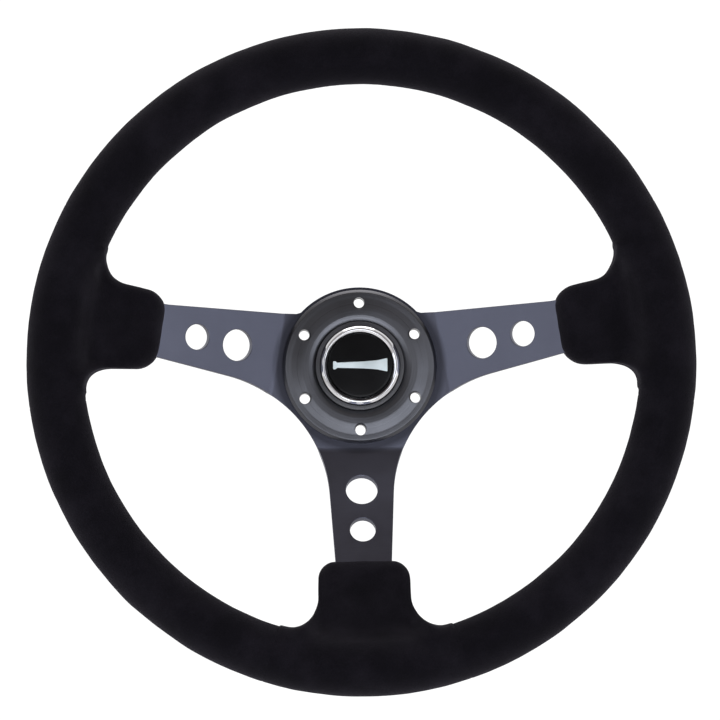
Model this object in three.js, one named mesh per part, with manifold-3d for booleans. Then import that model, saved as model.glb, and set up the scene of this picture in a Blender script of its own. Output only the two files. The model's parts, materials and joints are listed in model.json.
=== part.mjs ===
// A 350 mm deep-dish sports steering wheel with a quick-release coupling, in millimetres.
// Everything is modelled facing the driver: x to the right, y up and z towards the driver, with z = 0
// at the end face of the column spigot. The last lines turn the wheel upright, so that z becomes -Y.
import * as THREE from "three";
import { mergeVertices } from "three/addons/utils/BufferGeometryUtils.js";
import Module from "manifold-3d";

const wasm = await Module();
wasm.setup();

// ---------------------------------------------------------------- driving dimensions
const WHEEL_DIAMETER = 350;
const GRIP_DIAMETER = 29.6;
const DISH = 76; // back of the spoke plate to the front of the rim
const HUB_Z = 80; // back of the spoke plate, above the column spigot's end face
const PLATE_T = 4;
const SLOPE = THREE.MathUtils.degToRad(25.5); // of each spoke, from the hub up to the rim
const SPOKES = { right: 10, left: 170, bottom: 270 }; // directions in degrees
const BOLT_CIRCLE_R = 35; // six open holes for a standard 70 mm bolt circle
const BOLT_HOLE_R = 2.9;
const SCREW_CIRCLE_R = 28.1; // six M4 screws that hold the quick-release hub
const FIT = 0.2; // gap between pieces that rest on each other
const ROUND = 28; // facets round a hub-sized circle

const RIM_R = (WHEEL_DIAMETER - GRIP_DIAMETER) / 2;
const RIM_Z = HUB_Z + DISH - GRIP_DIAMETER / 2;
const GRIP_R = GRIP_DIAMETER / 2;
const PLATE_MID_Z = HUB_Z + PLATE_T / 2;
const PLATE_FRONT_Z = HUB_Z + PLATE_T;

// ---------------------------------------------------------------- helpers
const degrees = THREE.MathUtils.degToRad;

// A closed geometry as a manifold-3d solid.
function solid(geometry) {
  const g = geometry.clone();
  g.deleteAttribute("normal");
  g.deleteAttribute("uv");
  const merged = mergeVertices(g, 1e-4);
  return new wasm.Manifold(
    new wasm.Mesh({
      numProp: 3,
      vertProperties: merged.attributes.position.array,
      triVerts: new Uint32Array(merged.index.array),
    }),
  );
}

// A manifold-3d solid as a geometry.
function geometryOf(made) {
  const { vertProperties, triVerts, numProp, numVert } = made.getMesh();
  const positions = new Float32Array(numVert * 3);
  for (let i = 0; i < numVert; i++)
    positions.set(vertProperties.subarray(i * numProp, i * numProp + 3), i * 3);
  const g = new THREE.BufferGeometry();
  g.setAttribute("position", new THREE.BufferAttribute(positions, 3));
  g.setIndex(new THREE.BufferAttribute(new Uint32Array(triVerts), 1));
  g.computeVertexNormals();
  return g;
}

const joined = (first, ...rest) => rest.reduce((sum, s) => sum.add(s), first);
const cut = (first, ...rest) => rest.reduce((left, s) => left.subtract(s), first);

// A turned piece: [radius, z] points up its outline, starting and ending on the axis or closing on itself.
function turned(points, segments = ROUND) {
  const outline = points.map(([r, z]) => new THREE.Vector2(r, z));
  const g = new THREE.LatheGeometry(outline, segments);
  return g.rotateX(Math.PI / 2);
}

// A turned ring of rectangular section, with a chamfer on the outer front edge.
function ring(innerR, outerR, backZ, frontZ, chamfer = 0, segments = ROUND) {
  const outline = [
    [innerR, backZ],
    [outerR, backZ],
    [outerR, frontZ - chamfer],
    [outerR - chamfer, frontZ],
    [innerR, frontZ],
    [innerR, backZ],
  ];
  return turned(chamfer ? outline : outline.filter((_, i) => i !== 3), segments);
}

// A solid drum along z.
function drum(r, backZ, frontZ, segments = ROUND) {
  return turned([[0, backZ], [r, backZ], [r, frontZ], [0, frontZ]], segments);
}

// A plan outline raised from backZ to frontZ.
function raised(shape, backZ, frontZ, curveSegments = 12) {
  const g = new THREE.ExtrudeGeometry(shape, {
    depth: frontZ - backZ,
    bevelEnabled: false,
    curveSegments,
  });
  return g.translate(0, 0, backZ);
}

// A tube or other section swept along a curve.
function swept(shape, path, steps, curveSegments) {
  return new THREE.ExtrudeGeometry(shape, { extrudePath: path, steps, curveSegments });
}

function circle(r) {
  return new THREE.Shape().absarc(0, 0, r, 0, 2 * Math.PI);
}

// Straight lines through [x, y, cornerRadius] points, with each corner rounded.
function roundedOutline(corners, Kind = THREE.Shape) {
  const shape = new Kind();
  corners.forEach(([x, y, radius = 0], i) => {
    const here = new THREE.Vector2(x, y);
    const [px, py] = corners[(i + corners.length - 1) % corners.length];
    const [nx, ny] = corners[(i + 1) % corners.length];
    const back = new THREE.Vector2(px, py).sub(here).normalize();
    const on = new THREE.Vector2(nx, ny).sub(here).normalize();
    const place = (v) => (shape.curves.length || i ? shape.lineTo(v.x, v.y) : shape.moveTo(v.x, v.y));
    if (!radius) {
      place(here);
      return;
    }
    const half = Math.acos(THREE.MathUtils.clamp(back.dot(on), -1, 1)) / 2;
    const enter = here.clone().addScaledVector(back, radius / Math.tan(half));
    const leave = here.clone().addScaledVector(on, radius / Math.tan(half));
    const centre = here.clone().addScaledVector(back.clone().add(on).normalize(), radius / Math.sin(half));
    const angle = (v) => Math.atan2(v.y - centre.y, v.x - centre.x);
    place(enter);
    shape.absarc(centre.x, centre.y, radius, angle(enter), angle(leave), back.cross(on) > 0);
  });
  shape.closePath();
  return shape;
}

// A point of a spoke's plan, at distance u along it and v to its left, as x and y.
function spokePoint(direction, u, v) {
  const a = degrees(direction);
  return [u * Math.cos(a) - v * Math.sin(a), u * Math.sin(a) + v * Math.cos(a)];
}

// Copies of a solid turned to each of count places round the axis.
function aroundAxis(made, count, firstDegrees = 0) {
  return Array.from({ length: count }, (_, i) => made.rotate([0, 0, firstDegrees + (360 * i) / count]));
}

// ---------------------------------------------------------------- the wheel
const wheel = new THREE.Group();

function add(name, geometry, material) {
  const mesh = new THREE.Mesh(geometry, material);
  mesh.name = name;
  wheel.add(mesh);
}

function finish(color, roughness, metalness) {
  return new THREE.MeshStandardMaterial({ color, roughness, metalness });
}

const anodised = finish(0x3d3f4b, 0.4, 0.9);
const suede = finish(0x121116, 0.95, 0);
const threadBlack = finish(0x1b1a1f, 0.8, 0);
const foam = finish(0x26262a, 0.9, 0);
const steel = finish(0x8d9095, 0.35, 1);
const blackSteel = finish(0x1c1c1e, 0.45, 0.8);
const castAlloy = finish(0xa5a7ab, 0.5, 1);
const chrome = finish(0xe6e8ea, 0.08, 1);
const blackPlastic = finish(0x101113, 0.35, 0);
const paleInk = finish(0xd6dee0, 0.5, 0);
const brass = finish(0xb7923f, 0.35, 1);
const phenolic = finish(0x5a3a24, 0.6, 0);
const springSteel = finish(0xb5b8bc, 0.3, 1);

// ---------------------------------------------------------------- spoke plate
const BEND_R = 16; // of the plate's middle, where each spoke leaves the hub
const BEND_START = 42.5;
const DISC_R = 44;
const SPOKE_END = 153;
const WRAP_START = 107.5; // where the suede begins along each spoke
const MIDDLE_U = 72;
const SPOKE_HALF_WIDTH = { middle: 17.3, wrap: 15 }; // at MIDDLE_U and WRAP_START
const SHOULDER = { u: 43.8, v: 22.6, wrapV: 14 }; // of a side spoke's straight upper edge
const WEB_R = 71; // between a side spoke and the bottom one
const LARGE_HOLE = { u: 68.4, r: 8.6 };
const SMALL_HOLE = { u: 90, r: 6.9 };
const BRACKET_SCREW = { u: 145, v: 7, r: 2.5 };

// Half the width of a tapering spoke at distance u from the axis.
const spokeHalfWidth = (u) =>
  THREE.MathUtils.mapLinear(u, MIDDLE_U, WRAP_START, SPOKE_HALF_WIDTH.middle, SPOKE_HALF_WIDTH.wrap);

// Height of a spoke's middle surface at distance u from the axis.
const bendEndU = BEND_START + BEND_R * Math.sin(SLOPE);
const bendEndZ = PLATE_MID_Z + BEND_R * (1 - Math.cos(SLOPE));
const spokeZ = (u) => bendEndZ + (u - bendEndU) * Math.tan(SLOPE);

// The bent strip of one spoke: its side profile, drawn in u and z and widened across the spoke.
function bentStrip(direction, fromU, toU, halfThickness, halfWidth) {
  const bendZ = PLATE_MID_Z + BEND_R;
  const rise = halfThickness / Math.cos(SLOPE);
  const profile = new THREE.Shape();
  profile.moveTo(fromU, PLATE_MID_Z - halfThickness);
  profile.lineTo(BEND_START, PLATE_MID_Z - halfThickness);
  profile.absarc(BEND_START, bendZ, BEND_R + halfThickness, -Math.PI / 2, -Math.PI / 2 + SLOPE);
  profile.lineTo(toU, spokeZ(toU) - rise);
  profile.lineTo(toU, spokeZ(toU) + rise);
  profile.absarc(BEND_START, bendZ, BEND_R - halfThickness, -Math.PI / 2 + SLOPE, -Math.PI / 2, true);
  profile.lineTo(fromU, PLATE_MID_Z + halfThickness);
  profile.closePath();
  const g = raised(profile, -halfWidth, halfWidth, 3);
  return solid(g.rotateX(Math.PI / 2).rotateZ(degrees(direction)));
}

// A slab that lies along one spoke's slope, for its wrap and foam.
function slopedSlab(direction, fromU, toU, below, above, halfWidth) {
  const profile = new THREE.Shape();
  const lift = (n) => n / Math.cos(SLOPE);
  profile.moveTo(fromU, spokeZ(fromU) - lift(below));
  profile.lineTo(toU, spokeZ(toU) - lift(below));
  profile.lineTo(toU, spokeZ(toU) + lift(above));
  profile.lineTo(fromU, spokeZ(fromU) + lift(above));
  profile.closePath();
  const g = raised(profile, -halfWidth, halfWidth);
  return solid(g.rotateX(Math.PI / 2).rotateZ(degrees(direction)));
}

// A drum square to one spoke's slope, centred on its middle surface.
function squareToSpoke(direction, u, v, r, below, above, segments) {
  const g = drum(r, -below, above, segments);
  g.rotateY(-SLOPE).translate(u, v, spokeZ(u)).rotateZ(degrees(direction));
  return solid(g);
}

// Where the lower edge of a side spoke would meet the edge of the bottom one, before the web rounds it.
function webCorner(side) {
  const edge = (name, sign) =>
    [MIDDLE_U, WRAP_START].map((u) => spokePoint(SPOKES[name], u, sign * spokeHalfWidth(u)));
  const [[ax, ay], [bx, by]] = edge(side, side === "right" ? -1 : 1);
  const [[cx, cy], [dx, dy]] = edge("bottom", side === "right" ? 1 : -1);
  const t = ((cx - ax) * (dy - cy) - (cy - ay) * (dx - cx)) / ((bx - ax) * (dy - cy) - (by - ay) * (dx - cx));
  return [ax + t * (bx - ax), ay + t * (by - ay), WEB_R];
}

function spokePlate() {
  const end = spokeHalfWidth(SPOKE_END);
  const at = (name, u, v) => spokePoint(SPOKES[name], u, v);
  const outline = roundedOutline([
    at("right", SHOULDER.u, SHOULDER.v),
    at("left", SHOULDER.u, -SHOULDER.v),
    at("left", WRAP_START, -SHOULDER.wrapV),
    [...at("left", SPOKE_END, -end), 4],
    [...at("left", SPOKE_END, end), 4],
    webCorner("left"),
    [...at("bottom", SPOKE_END, -end), 4],
    [...at("bottom", SPOKE_END, end), 4],
    webCorner("right"),
    [...at("right", SPOKE_END, -end), 4],
    [...at("right", SPOKE_END, end), 4],
    at("right", WRAP_START, SHOULDER.wrapV),
  ]);
  const prism = solid(raised(outline, HUB_Z - 10, RIM_Z, 6));
  const disc = solid(drum(DISC_R, HUB_Z, PLATE_FRONT_Z, 48));
  const strips = Object.values(SPOKES).map((direction) =>
    prism.intersect(bentStrip(direction, 20, SPOKE_END + 5, PLATE_T / 2, 60)),
  );
  const through = (r, radius, segments) =>
    solid(drum(r, HUB_Z - 1, PLATE_FRONT_Z + 1, segments)).translate([radius, 0, 0]);
  const lightening = Object.values(SPOKES).flatMap((direction) => [
    squareToSpoke(direction, LARGE_HOLE.u, 0, LARGE_HOLE.r, 5, 5, 20),
    squareToSpoke(direction, SMALL_HOLE.u, 0, SMALL_HOLE.r, 5, 5, 18),
    squareToSpoke(direction, BRACKET_SCREW.u, BRACKET_SCREW.v, BRACKET_SCREW.r + FIT, 5, 5, 8),
    squareToSpoke(direction, BRACKET_SCREW.u, -BRACKET_SCREW.v, BRACKET_SCREW.r + FIT, 5, 5, 8),
  ]);
  return cut(
    joined(disc, ...strips),
    solid(drum(HORN.bodyR + 0.4, HUB_Z - 1, PLATE_FRONT_Z + 1)),
    ...aroundAxis(through(BOLT_HOLE_R, BOLT_CIRCLE_R, 12), 6, 30),
    ...aroundAxis(through(2.25, SCREW_CIRCLE_R, 8), 6),
    ...lightening,
  );
}

// ---------------------------------------------------------------- horn button
// Radii and heights above the plate's front face of the button that fills the middle of the hub.
const HORN = {
  bodyR: 20, // of the cup behind the plate
  lipR: 25.3, // clamped between the plate and the centre ring
  wallR: 24.2,
  boreR: 23.1,
  flangeR: 22.8, // of the cap, held in by the mouth
  mouthR: 21.9,
  bezelR: 21.5,
  faceR: 17.4, // of the cap inside the bezel
  wellR: 18.2,
  travel: 2.5,
};
const LIP_T = 1.7;
const HOUSING_FRONT_Z = PLATE_FRONT_Z + 8.8;
const HOUSING_BACK_Z = PLATE_FRONT_Z - 14.5;
const WELL_FLOOR_Z = HOUSING_BACK_Z + 2.5;
const SHELF_Z = PLATE_FRONT_Z + 1.8;
const FLANGE_BACK_Z = PLATE_FRONT_Z + 4.7;
const FLANGE_FRONT_Z = FLANGE_BACK_Z + 2.2;
const TERMINAL = { x: 14.5, width: 6.3, t: 0.8, length: 9.5 };

function hornHousing() {
  const mouthBackZ = FLANGE_FRONT_Z + 0.3;
  const cup = solid(
    turned([
      [0, HOUSING_BACK_Z],
      [HORN.bodyR, HOUSING_BACK_Z],
      [HORN.bodyR, PLATE_FRONT_Z + FIT],
      [HORN.lipR, PLATE_FRONT_Z + FIT],
      [HORN.lipR, PLATE_FRONT_Z + FIT + LIP_T],
      [HORN.wallR, PLATE_FRONT_Z + FIT + LIP_T],
      [HORN.wallR, HOUSING_FRONT_Z - 0.8],
      [HORN.wallR - 0.8, HOUSING_FRONT_Z],
      [HORN.mouthR, HOUSING_FRONT_Z],
      [HORN.mouthR, mouthBackZ],
      [HORN.boreR, mouthBackZ],
      [HORN.boreR, SHELF_Z],
      [HORN.wellR, SHELF_Z],
      [HORN.wellR, WELL_FLOOR_Z],
      [0, WELL_FLOOR_Z],
    ]),
  );
  const slot = new THREE.BoxGeometry(TERMINAL.t + 0.6, TERMINAL.width + 0.6, 10);
  slot.translate(TERMINAL.x, 0, HOUSING_BACK_Z);
  return cut(cup, ...aroundAxis(solid(slot), 2));
}

// The cap's domed face, from its edge to the middle.
const CROWN_Z = HOUSING_FRONT_Z + 2.6;
const DOME = [
  [HORN.faceR, CROWN_Z],
  [13, CROWN_Z + 0.7],
  [7, CROWN_Z + 1.15],
  [0, CROWN_Z + 1.3],
];

function hornCap() {
  const stemR = 7;
  return turned([
    [0, FLANGE_BACK_Z - 7],
    [stemR, FLANGE_BACK_Z - 7],
    [stemR, FLANGE_BACK_Z],
    [HORN.flangeR, FLANGE_BACK_Z],
    [HORN.flangeR, FLANGE_FRONT_Z],
    [HORN.faceR, FLANGE_FRONT_Z],
    ...DOME,
  ]);
}

function hornBezel() {
  const backZ = FLANGE_FRONT_Z + FIT;
  const frontZ = HOUSING_FRONT_Z + 3.6;
  return turned([
    [HORN.faceR + 0.3, backZ],
    [HORN.bezelR, backZ],
    [HORN.bezelR, frontZ - 1.4],
    [HORN.bezelR - 0.6, frontZ - 0.4],
    [HORN.bezelR - 1.7, frontZ],
    [HORN.faceR + 0.8, frontZ - 0.3],
    [HORN.faceR + 0.3, frontZ - 1],
    [HORN.faceR + 0.3, backZ],
  ]);
}

// A plain long bugle in outline, raised from the cap and following its dome.
function hornSymbol() {
  const half = [
    [-14.8, 2.2],
    [-13.4, 2.2],
    [-12.6, 1.4],
    [2, 1.9],
    [9.4, 2.5],
    [14.8, 3.7],
  ];
  const outline = roundedOutline([...half, ...half.toReversed().map(([x, y]) => [x, -y])]);
  const underDome = (lift) =>
    solid(turned([[0, FLANGE_FRONT_Z], [HORN.faceR, FLANGE_FRONT_Z], ...DOME.map(([r, z]) => [r, z + lift])]));
  const bar = solid(raised(outline, CROWN_Z - 1, CROWN_Z + 3, 3));
  return cut(bar.intersect(underDome(0.5)), underDome(0.1));
}

// A round-wire coil with pitch from back to front.
class Helix extends THREE.Curve {
  constructor(radius, backZ, frontZ, turns) {
    super();
    Object.assign(this, { radius, backZ, frontZ, turns });
  }
  getPoint(t, target = new THREE.Vector3()) {
    const a = 2 * Math.PI * this.turns * t;
    const z = this.backZ + (this.frontZ - this.backZ) * t;
    return target.set(this.radius * Math.cos(a), this.radius * Math.sin(a), z);
  }
}

function coil(radius, wireR, backZ, frontZ, turns) {
  const path = new Helix(radius, backZ + wireR, frontZ - wireR, turns);
  return swept(circle(wireR), path, turns * 10, 2);
}

// ---------------------------------------------------------------- centre ring
function centreRing() {
  const backZ = PLATE_FRONT_Z + FIT;
  const frontZ = PLATE_FRONT_Z + 5.2;
  const body = solid(
    turned(
      [
        [HORN.lipR + 0.2, backZ],
        [42.3, backZ],
        [42.3, frontZ - 2],
        [40.3, frontZ],
        [27.8, frontZ],
        [HORN.wallR + 0.25, frontZ - 2.2],
        [HORN.wallR + 0.25, backZ + LIP_T + FIT],
        [HORN.lipR + 0.2, backZ + LIP_T + FIT],
        [HORN.lipR + 0.2, backZ],
      ],
      40,
    ),
  );
  const hole = turned(
    [
      [0, backZ - 1],
      [BOLT_HOLE_R, backZ - 1],
      [BOLT_HOLE_R, frontZ - 0.6],
      [BOLT_HOLE_R + 1.2, frontZ + 0.6],
      [0, frontZ + 0.6],
    ],
    12,
  ).translate(BOLT_CIRCLE_R, 0, 0);
  const tapped = drum(2.2, backZ - 1, backZ + 3, 8).translate(SCREW_CIRCLE_R, 0, 0);
  return cut(body, ...aroundAxis(solid(hole), 6, 30), ...aroundAxis(solid(tapped), 6));
}

// ---------------------------------------------------------------- quick-release coupling
// Heights are measured back from the spoke plate's rear face.
const behind = (h) => HUB_Z - h;
const QR = {
  flangeR: 31.6,
  flangeBack: 5.5,
  cupR: 23.4,
  cavityR: 20.5,
  cavityBack: 20,
  cupBack: 23,
  barrelR: 15.75,
  barrelBack: 60,
  ballBack: 47,
  collarTravel: 7,
};
const BALL_R = 3.175;
const BALL_CENTRE_R = 12.6;
const BALL_COUNT = 4;
const SPLINE = { teeth: 16, tipR: 11, rootR: 9.9, tipHalf: 3.9, rootHalf: 5.9, clear: 0.2, clearHalf: 1.1 };

// A splined outline; grown makes it the socket's.
function splineOutline(grown = 0) {
  const { teeth, tipR, rootR, tipHalf, rootHalf, clear, clearHalf } = SPLINE;
  const shape = new THREE.Shape();
  for (let i = 0; i < teeth; i++) {
    const middle = (360 * i) / teeth;
    const corners = [
      [rootR, -rootHalf - grown * clearHalf],
      [tipR, -tipHalf - grown * clearHalf],
      [tipR, tipHalf + grown * clearHalf],
      [rootR, rootHalf + grown * clearHalf],
    ];
    for (const [r, half] of corners) {
      const a = degrees(middle + half);
      const place = shape.currentPoint.lengthSq() ? "lineTo" : "moveTo";
      shape[place]((r + grown * clear) * Math.cos(a), (r + grown * clear) * Math.sin(a));
    }
  }
  shape.closePath();
  return shape;
}

function quickReleaseHub() {
  const body = solid(
    turned([
      [0, behind(QR.barrelBack)],
      [QR.barrelR - 0.8, behind(QR.barrelBack)],
      [QR.barrelR, behind(QR.barrelBack - 0.8)],
      [QR.barrelR, behind(59.2)],
      [14.5, behind(59.2)],
      [14.5, behind(57.8)],
      [QR.barrelR, behind(57.8)],
      [QR.barrelR, behind(QR.cupBack)],
      [QR.cupR - 1.5, behind(QR.cupBack)],
      [QR.cupR, behind(QR.cupBack - 1.5)],
      [QR.cupR, behind(QR.flangeBack)],
      [QR.flangeR - 0.8, behind(QR.flangeBack)],
      [QR.flangeR, behind(QR.flangeBack - 0.8)],
      [QR.flangeR, behind(FIT)],
      [QR.cavityR, behind(FIT)],
      [QR.cavityR, behind(QR.cavityBack)],
      [0, behind(QR.cavityBack)],
    ], 32),
  );
  const bore = solid(raised(splineOutline(1), behind(QR.barrelBack + 1), behind(QR.cavityBack - 1)));
  const ballHole = new THREE.CylinderGeometry(BALL_R + 0.13, BALL_R + 0.13, 12, 12);
  ballHole.rotateZ(Math.PI / 2).translate(BALL_CENTRE_R + 2, 0, behind(QR.ballBack));
  const screwHole = drum(2.25, behind(QR.flangeBack + 1), behind(-1), 8).translate(SCREW_CIRCLE_R, 0, 0);
  return cut(
    body,
    bore,
    ...aroundAxis(solid(ballHole), BALL_COUNT, 45),
    ...aroundAxis(solid(screwHole), 6),
  );
}

// M4 socket-head screw, tip towards the driver.
function hubScrew(angle) {
  const headBack = QR.flangeBack + FIT + 4;
  const body = solid(
    turned(
      [
        [0, behind(headBack)],
        [3.1, behind(headBack)],
        [3.5, behind(headBack - 0.4)],
        [3.5, behind(QR.flangeBack + FIT)],
        [2, behind(QR.flangeBack + FIT)],
        [2, PLATE_FRONT_Z + 2.4],
        [1.5, PLATE_FRONT_Z + 2.9],
        [0, PLATE_FRONT_Z + 2.9],
      ],
      8,
    ),
  );
  const socket = solid(drum(1.73, behind(headBack + 1), behind(headBack - 2), 6));
  return body.subtract(socket).translate([SCREW_CIRCLE_R, 0, 0]).rotate([0, 0, angle]);
}

function releaseCollar() {
  const front = QR.cupBack + QR.collarTravel + 0.5;
  const back = 56;
  return turned(
    [
      [20.8, behind(front)],
      [20.8, behind(40)],
      [QR.barrelR + 0.2, behind(40)],
      [QR.barrelR + 0.2, behind(QR.ballBack + 0.2)],
      [18.3, behind(QR.ballBack + 0.2)],
      [18.3, behind(back)],
      [22, behind(back)],
      [23, behind(back - 1)],
      [23, behind(back - 3)],
      [21.8, behind(back - 4.2)],
      [21.8, behind(front + 6.5)],
      [25, behind(front + 3.5)],
      [25, behind(front + 1)],
      [24, behind(front)],
      [20.8, behind(front)],
    ],
    32,
  );
}

function circlip() {
  const inner = 14.7;
  const outer = 17.2;
  const open = degrees(24);
  const shape = new THREE.Shape();
  shape.absarc(0, 0, outer, open, 2 * Math.PI - open);
  const ear = (sign) => {
    const a = sign * open;
    shape.lineTo(19.6 * Math.cos(a * 1.1), 19.6 * Math.sin(a * 1.1));
    shape.lineTo(19.6 * Math.cos(a * 0.55), 19.6 * Math.sin(a * 0.55));
    shape.lineTo(inner * Math.cos(a * 0.6), inner * Math.sin(a * 0.6));
  };
  ear(-1);
  shape.absarc(0, 0, inner, 2 * Math.PI - open, open, true);
  shape.lineTo(inner * Math.cos(open * 0.6), inner * Math.sin(open * 0.6));
  shape.lineTo(19.6 * Math.cos(open * 0.55), 19.6 * Math.sin(open * 0.55));
  shape.lineTo(19.6 * Math.cos(open * 1.1), 19.6 * Math.sin(open * 1.1));
  shape.closePath();
  return raised(shape, behind(59.1), behind(57.9), 16);
}

function columnSpigot() {
  const nose = QR.ballBack - 7;
  const splined = solid(raised(splineOutline(), behind(60.6), behind(nose)));
  const noseTaper = solid(
    turned([
      [0, behind(61)],
      [12, behind(61)],
      [12, behind(nose + 2)],
      [9.6, behind(nose)],
      [0, behind(nose)],
    ]),
  );
  const shoulder = solid(
    turned([
      [0, 0],
      [11, 0],
      [12.5, 1.5],
      [12.5, behind(64.5)],
      [15.4, behind(64.5)],
      [15.4, behind(61)],
      [14.8, behind(60.4)],
      [0, behind(60.4)],
    ]),
  );
  const groove = solid(
    turned([
      [9.35, behind(QR.ballBack + 1.6)],
      [13, behind(QR.ballBack + 5.4)],
      [13, behind(QR.ballBack - 5.4)],
      [9.35, behind(QR.ballBack - 1.6)],
      [9.35, behind(QR.ballBack + 1.6)],
    ]),
  );
  return splined.intersect(noseTaper).subtract(groove).add(shoulder);
}

// ---------------------------------------------------------------- rim
const HOOP_R = 6;
const COVER_T = 1.4;
const RIM_STEP = 7.5; // degrees of rim to a facet
const BOOT = { below: 7.5, above: 8 }; // half thicknesses of the wrap over a spoke
const BOOT_HALF_ANGLE = 17; // of rim that each spoke's cover takes in

class RimArc extends THREE.Curve {
  constructor(radius, fromDegrees, toDegrees) {
    super();
    Object.assign(this, { radius, fromDegrees, toDegrees });
  }
  getPoint(t, target = new THREE.Vector3()) {
    const a = degrees(THREE.MathUtils.lerp(this.fromDegrees, this.toDegrees, t));
    return target.set(this.radius * Math.cos(a), this.radius * Math.sin(a), RIM_Z);
  }
}

function rimTube(sectionR, fromDegrees, toDegrees, sides, hole = null) {
  const section = circle(sectionR);
  if (hole) section.holes.push(new THREE.Path().absarc(0, 0, hole, 0, 2 * Math.PI));
  const steps = Math.ceil((toDegrees - fromDegrees) / RIM_STEP);
  return swept(section, new RimArc(RIM_R, fromDegrees, toDegrees), steps, sides / 2);
}

function rimTorus(sectionR, sides) {
  return new THREE.TorusGeometry(RIM_R, sectionR, sides, 360 / RIM_STEP).translate(0, 0, RIM_Z);
}

// Halves of the wrap's plan over a spoke's end, along and across the spoke, running into the rim.
const TIGHT_EDGE = [
  [WRAP_START + 1, 12],
  [WRAP_START + 5, 18],
  [117, 20.6],
  [131, 20.9],
  [137, 23.4],
  [141, 29.5],
  [144.5, 38],
];
const WIDE_EDGE = [
  [WRAP_START, 13],
  [WRAP_START + 3.5, 18.8],
  [115, 22.3],
  [132, 26],
  [137.5, 30],
  [140.5, 35],
  [144, 40],
];
const EVEN_EDGE = [
  [WRAP_START - 1.3, 15],
  [WRAP_START + 2, 20.6],
  [113.5, 23.6],
  [127, 24.8],
  [134, 28],
  [138.5, 34],
  [142.5, 41],
];
const WRAP_END = [
  [153, 44],
  [158.5, 22],
];
const BOOT_EDGES = {
  [SPOKES.right]: { lower: WIDE_EDGE, upper: TIGHT_EDGE },
  [SPOKES.left]: { lower: TIGHT_EDGE, upper: WIDE_EDGE },
  [SPOKES.bottom]: { lower: EVEN_EDGE, upper: EVEN_EDGE },
};

// The plan of the wrap over one spoke's end; shrunk inwards for the foam under it.
function bootOutline(direction, inset) {
  const shrunk = (edge) =>
    [...edge, ...WRAP_END].map(([u, v], i) => [i < 2 ? u + inset : u, v - inset]);
  const { lower, upper } = BOOT_EDGES[direction];
  const corners = [
    ...shrunk(lower).map(([u, v]) => spokePoint(direction, u, -v)),
    ...shrunk(upper).toReversed().map(([u, v]) => spokePoint(direction, u, v)),
  ];
  return new THREE.Shape(corners.map(([x, y]) => new THREE.Vector2(x, y)));
}

function boot(direction, inset) {
  const prism = solid(raised(bootOutline(direction, inset), HUB_Z, RIM_Z));
  return prism.intersect(slopedSlab(direction, 100, 162, BOOT.below - inset, BOOT.above - inset, 50));
}

function spokeGap(direction) {
  const c = 0.3;
  const from = 100;
  const to = SPOKE_END + c;
  const strip = roundedOutline([
    spokePoint(direction, from, -spokeHalfWidth(from) - c),
    spokePoint(direction, to, -spokeHalfWidth(to) - c),
    spokePoint(direction, to, spokeHalfWidth(to) + c),
    spokePoint(direction, from, spokeHalfWidth(from) + c),
  ]);
  const prism = solid(raised(strip, HUB_Z, RIM_Z));
  return prism.intersect(slopedSlab(direction, 98, 162, PLATE_T / 2 + c, PLATE_T / 2 + c, 50));
}

function spokeCover(direction) {
  const a = BOOT_HALF_ANGLE;
  const skin = joined(solid(rimTube(GRIP_R, direction - a, direction + a, 12)), boot(direction, 0));
  const inner = joined(
    solid(rimTube(GRIP_R - COVER_T, direction - a - 1, direction + a + 1, 12)),
    boot(direction, COVER_T),
  );
  return cut(skin, inner, spokeGap(direction));
}

// Strap saddled on the hoop, to which the spoke's end is screwed from behind.
const BRACKET = { from: 137, to: 161, halfWidth: 11, t: 3.4 };

function bracket(direction, grown = 0) {
  const base = PLATE_T / 2 + FIT;
  const { from, to, halfWidth, t } = BRACKET;
  return slopedSlab(direction, from - grown, to + grown, grown - base, base + t + grown, halfWidth + grown);
}

function rimBracket(direction) {
  const tapped = [-1, 1].map((side) =>
    squareToSpoke(direction, BRACKET_SCREW.u, side * BRACKET_SCREW.v, BRACKET_SCREW.r + FIT, 0, 9, 12),
  );
  return cut(bracket(direction), ...tapped, solid(rimTorus(HOOP_R + 0.15, 8)));
}

function bracketScrew(direction, side, grown = 0) {
  const { u, v, r } = BRACKET_SCREW;
  const seat = PLATE_T / 2 + FIT;
  const shank = squareToSpoke(direction, u, side * v, r + grown, seat + 0.5, 5.3 + grown, 12);
  const head = squareToSpoke(direction, u, side * v, 4.2 + grown, seat + 2.4 + grown, grown - seat, 12);
  return shank.add(head);
}

function rimFoam() {
  const inset = COVER_T + FIT;
  const directions = Object.values(SPOKES);
  const body = joined(solid(rimTorus(GRIP_R - COVER_T - 1, 8)), ...directions.map((d) => boot(d, inset)));
  return cut(
    body,
    solid(rimTorus(HOOP_R + 0.3, 8)),
    ...directions.flatMap((d) => [
      spokeGap(d),
      bracket(d, 0.3),
      bracketScrew(d, -1, 0.3),
      bracketScrew(d, 1, 0.3),
    ]),
  );
}

// The seam's thread lies just proud of the cover, along the rim's inner side and a little to the back.
function seamThread(fromDegrees, toDegrees) {
  const steps = Math.ceil((toDegrees - fromDegrees) / RIM_STEP);
  const turn = degrees(24);
  const reach = GRIP_R + 1;
  const path = new RimArc(RIM_R - reach * Math.cos(turn), fromDegrees, toDegrees);
  return swept(circle(0.5), path, steps, 2).translate(0, 0, -reach * Math.sin(turn));
}

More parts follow.
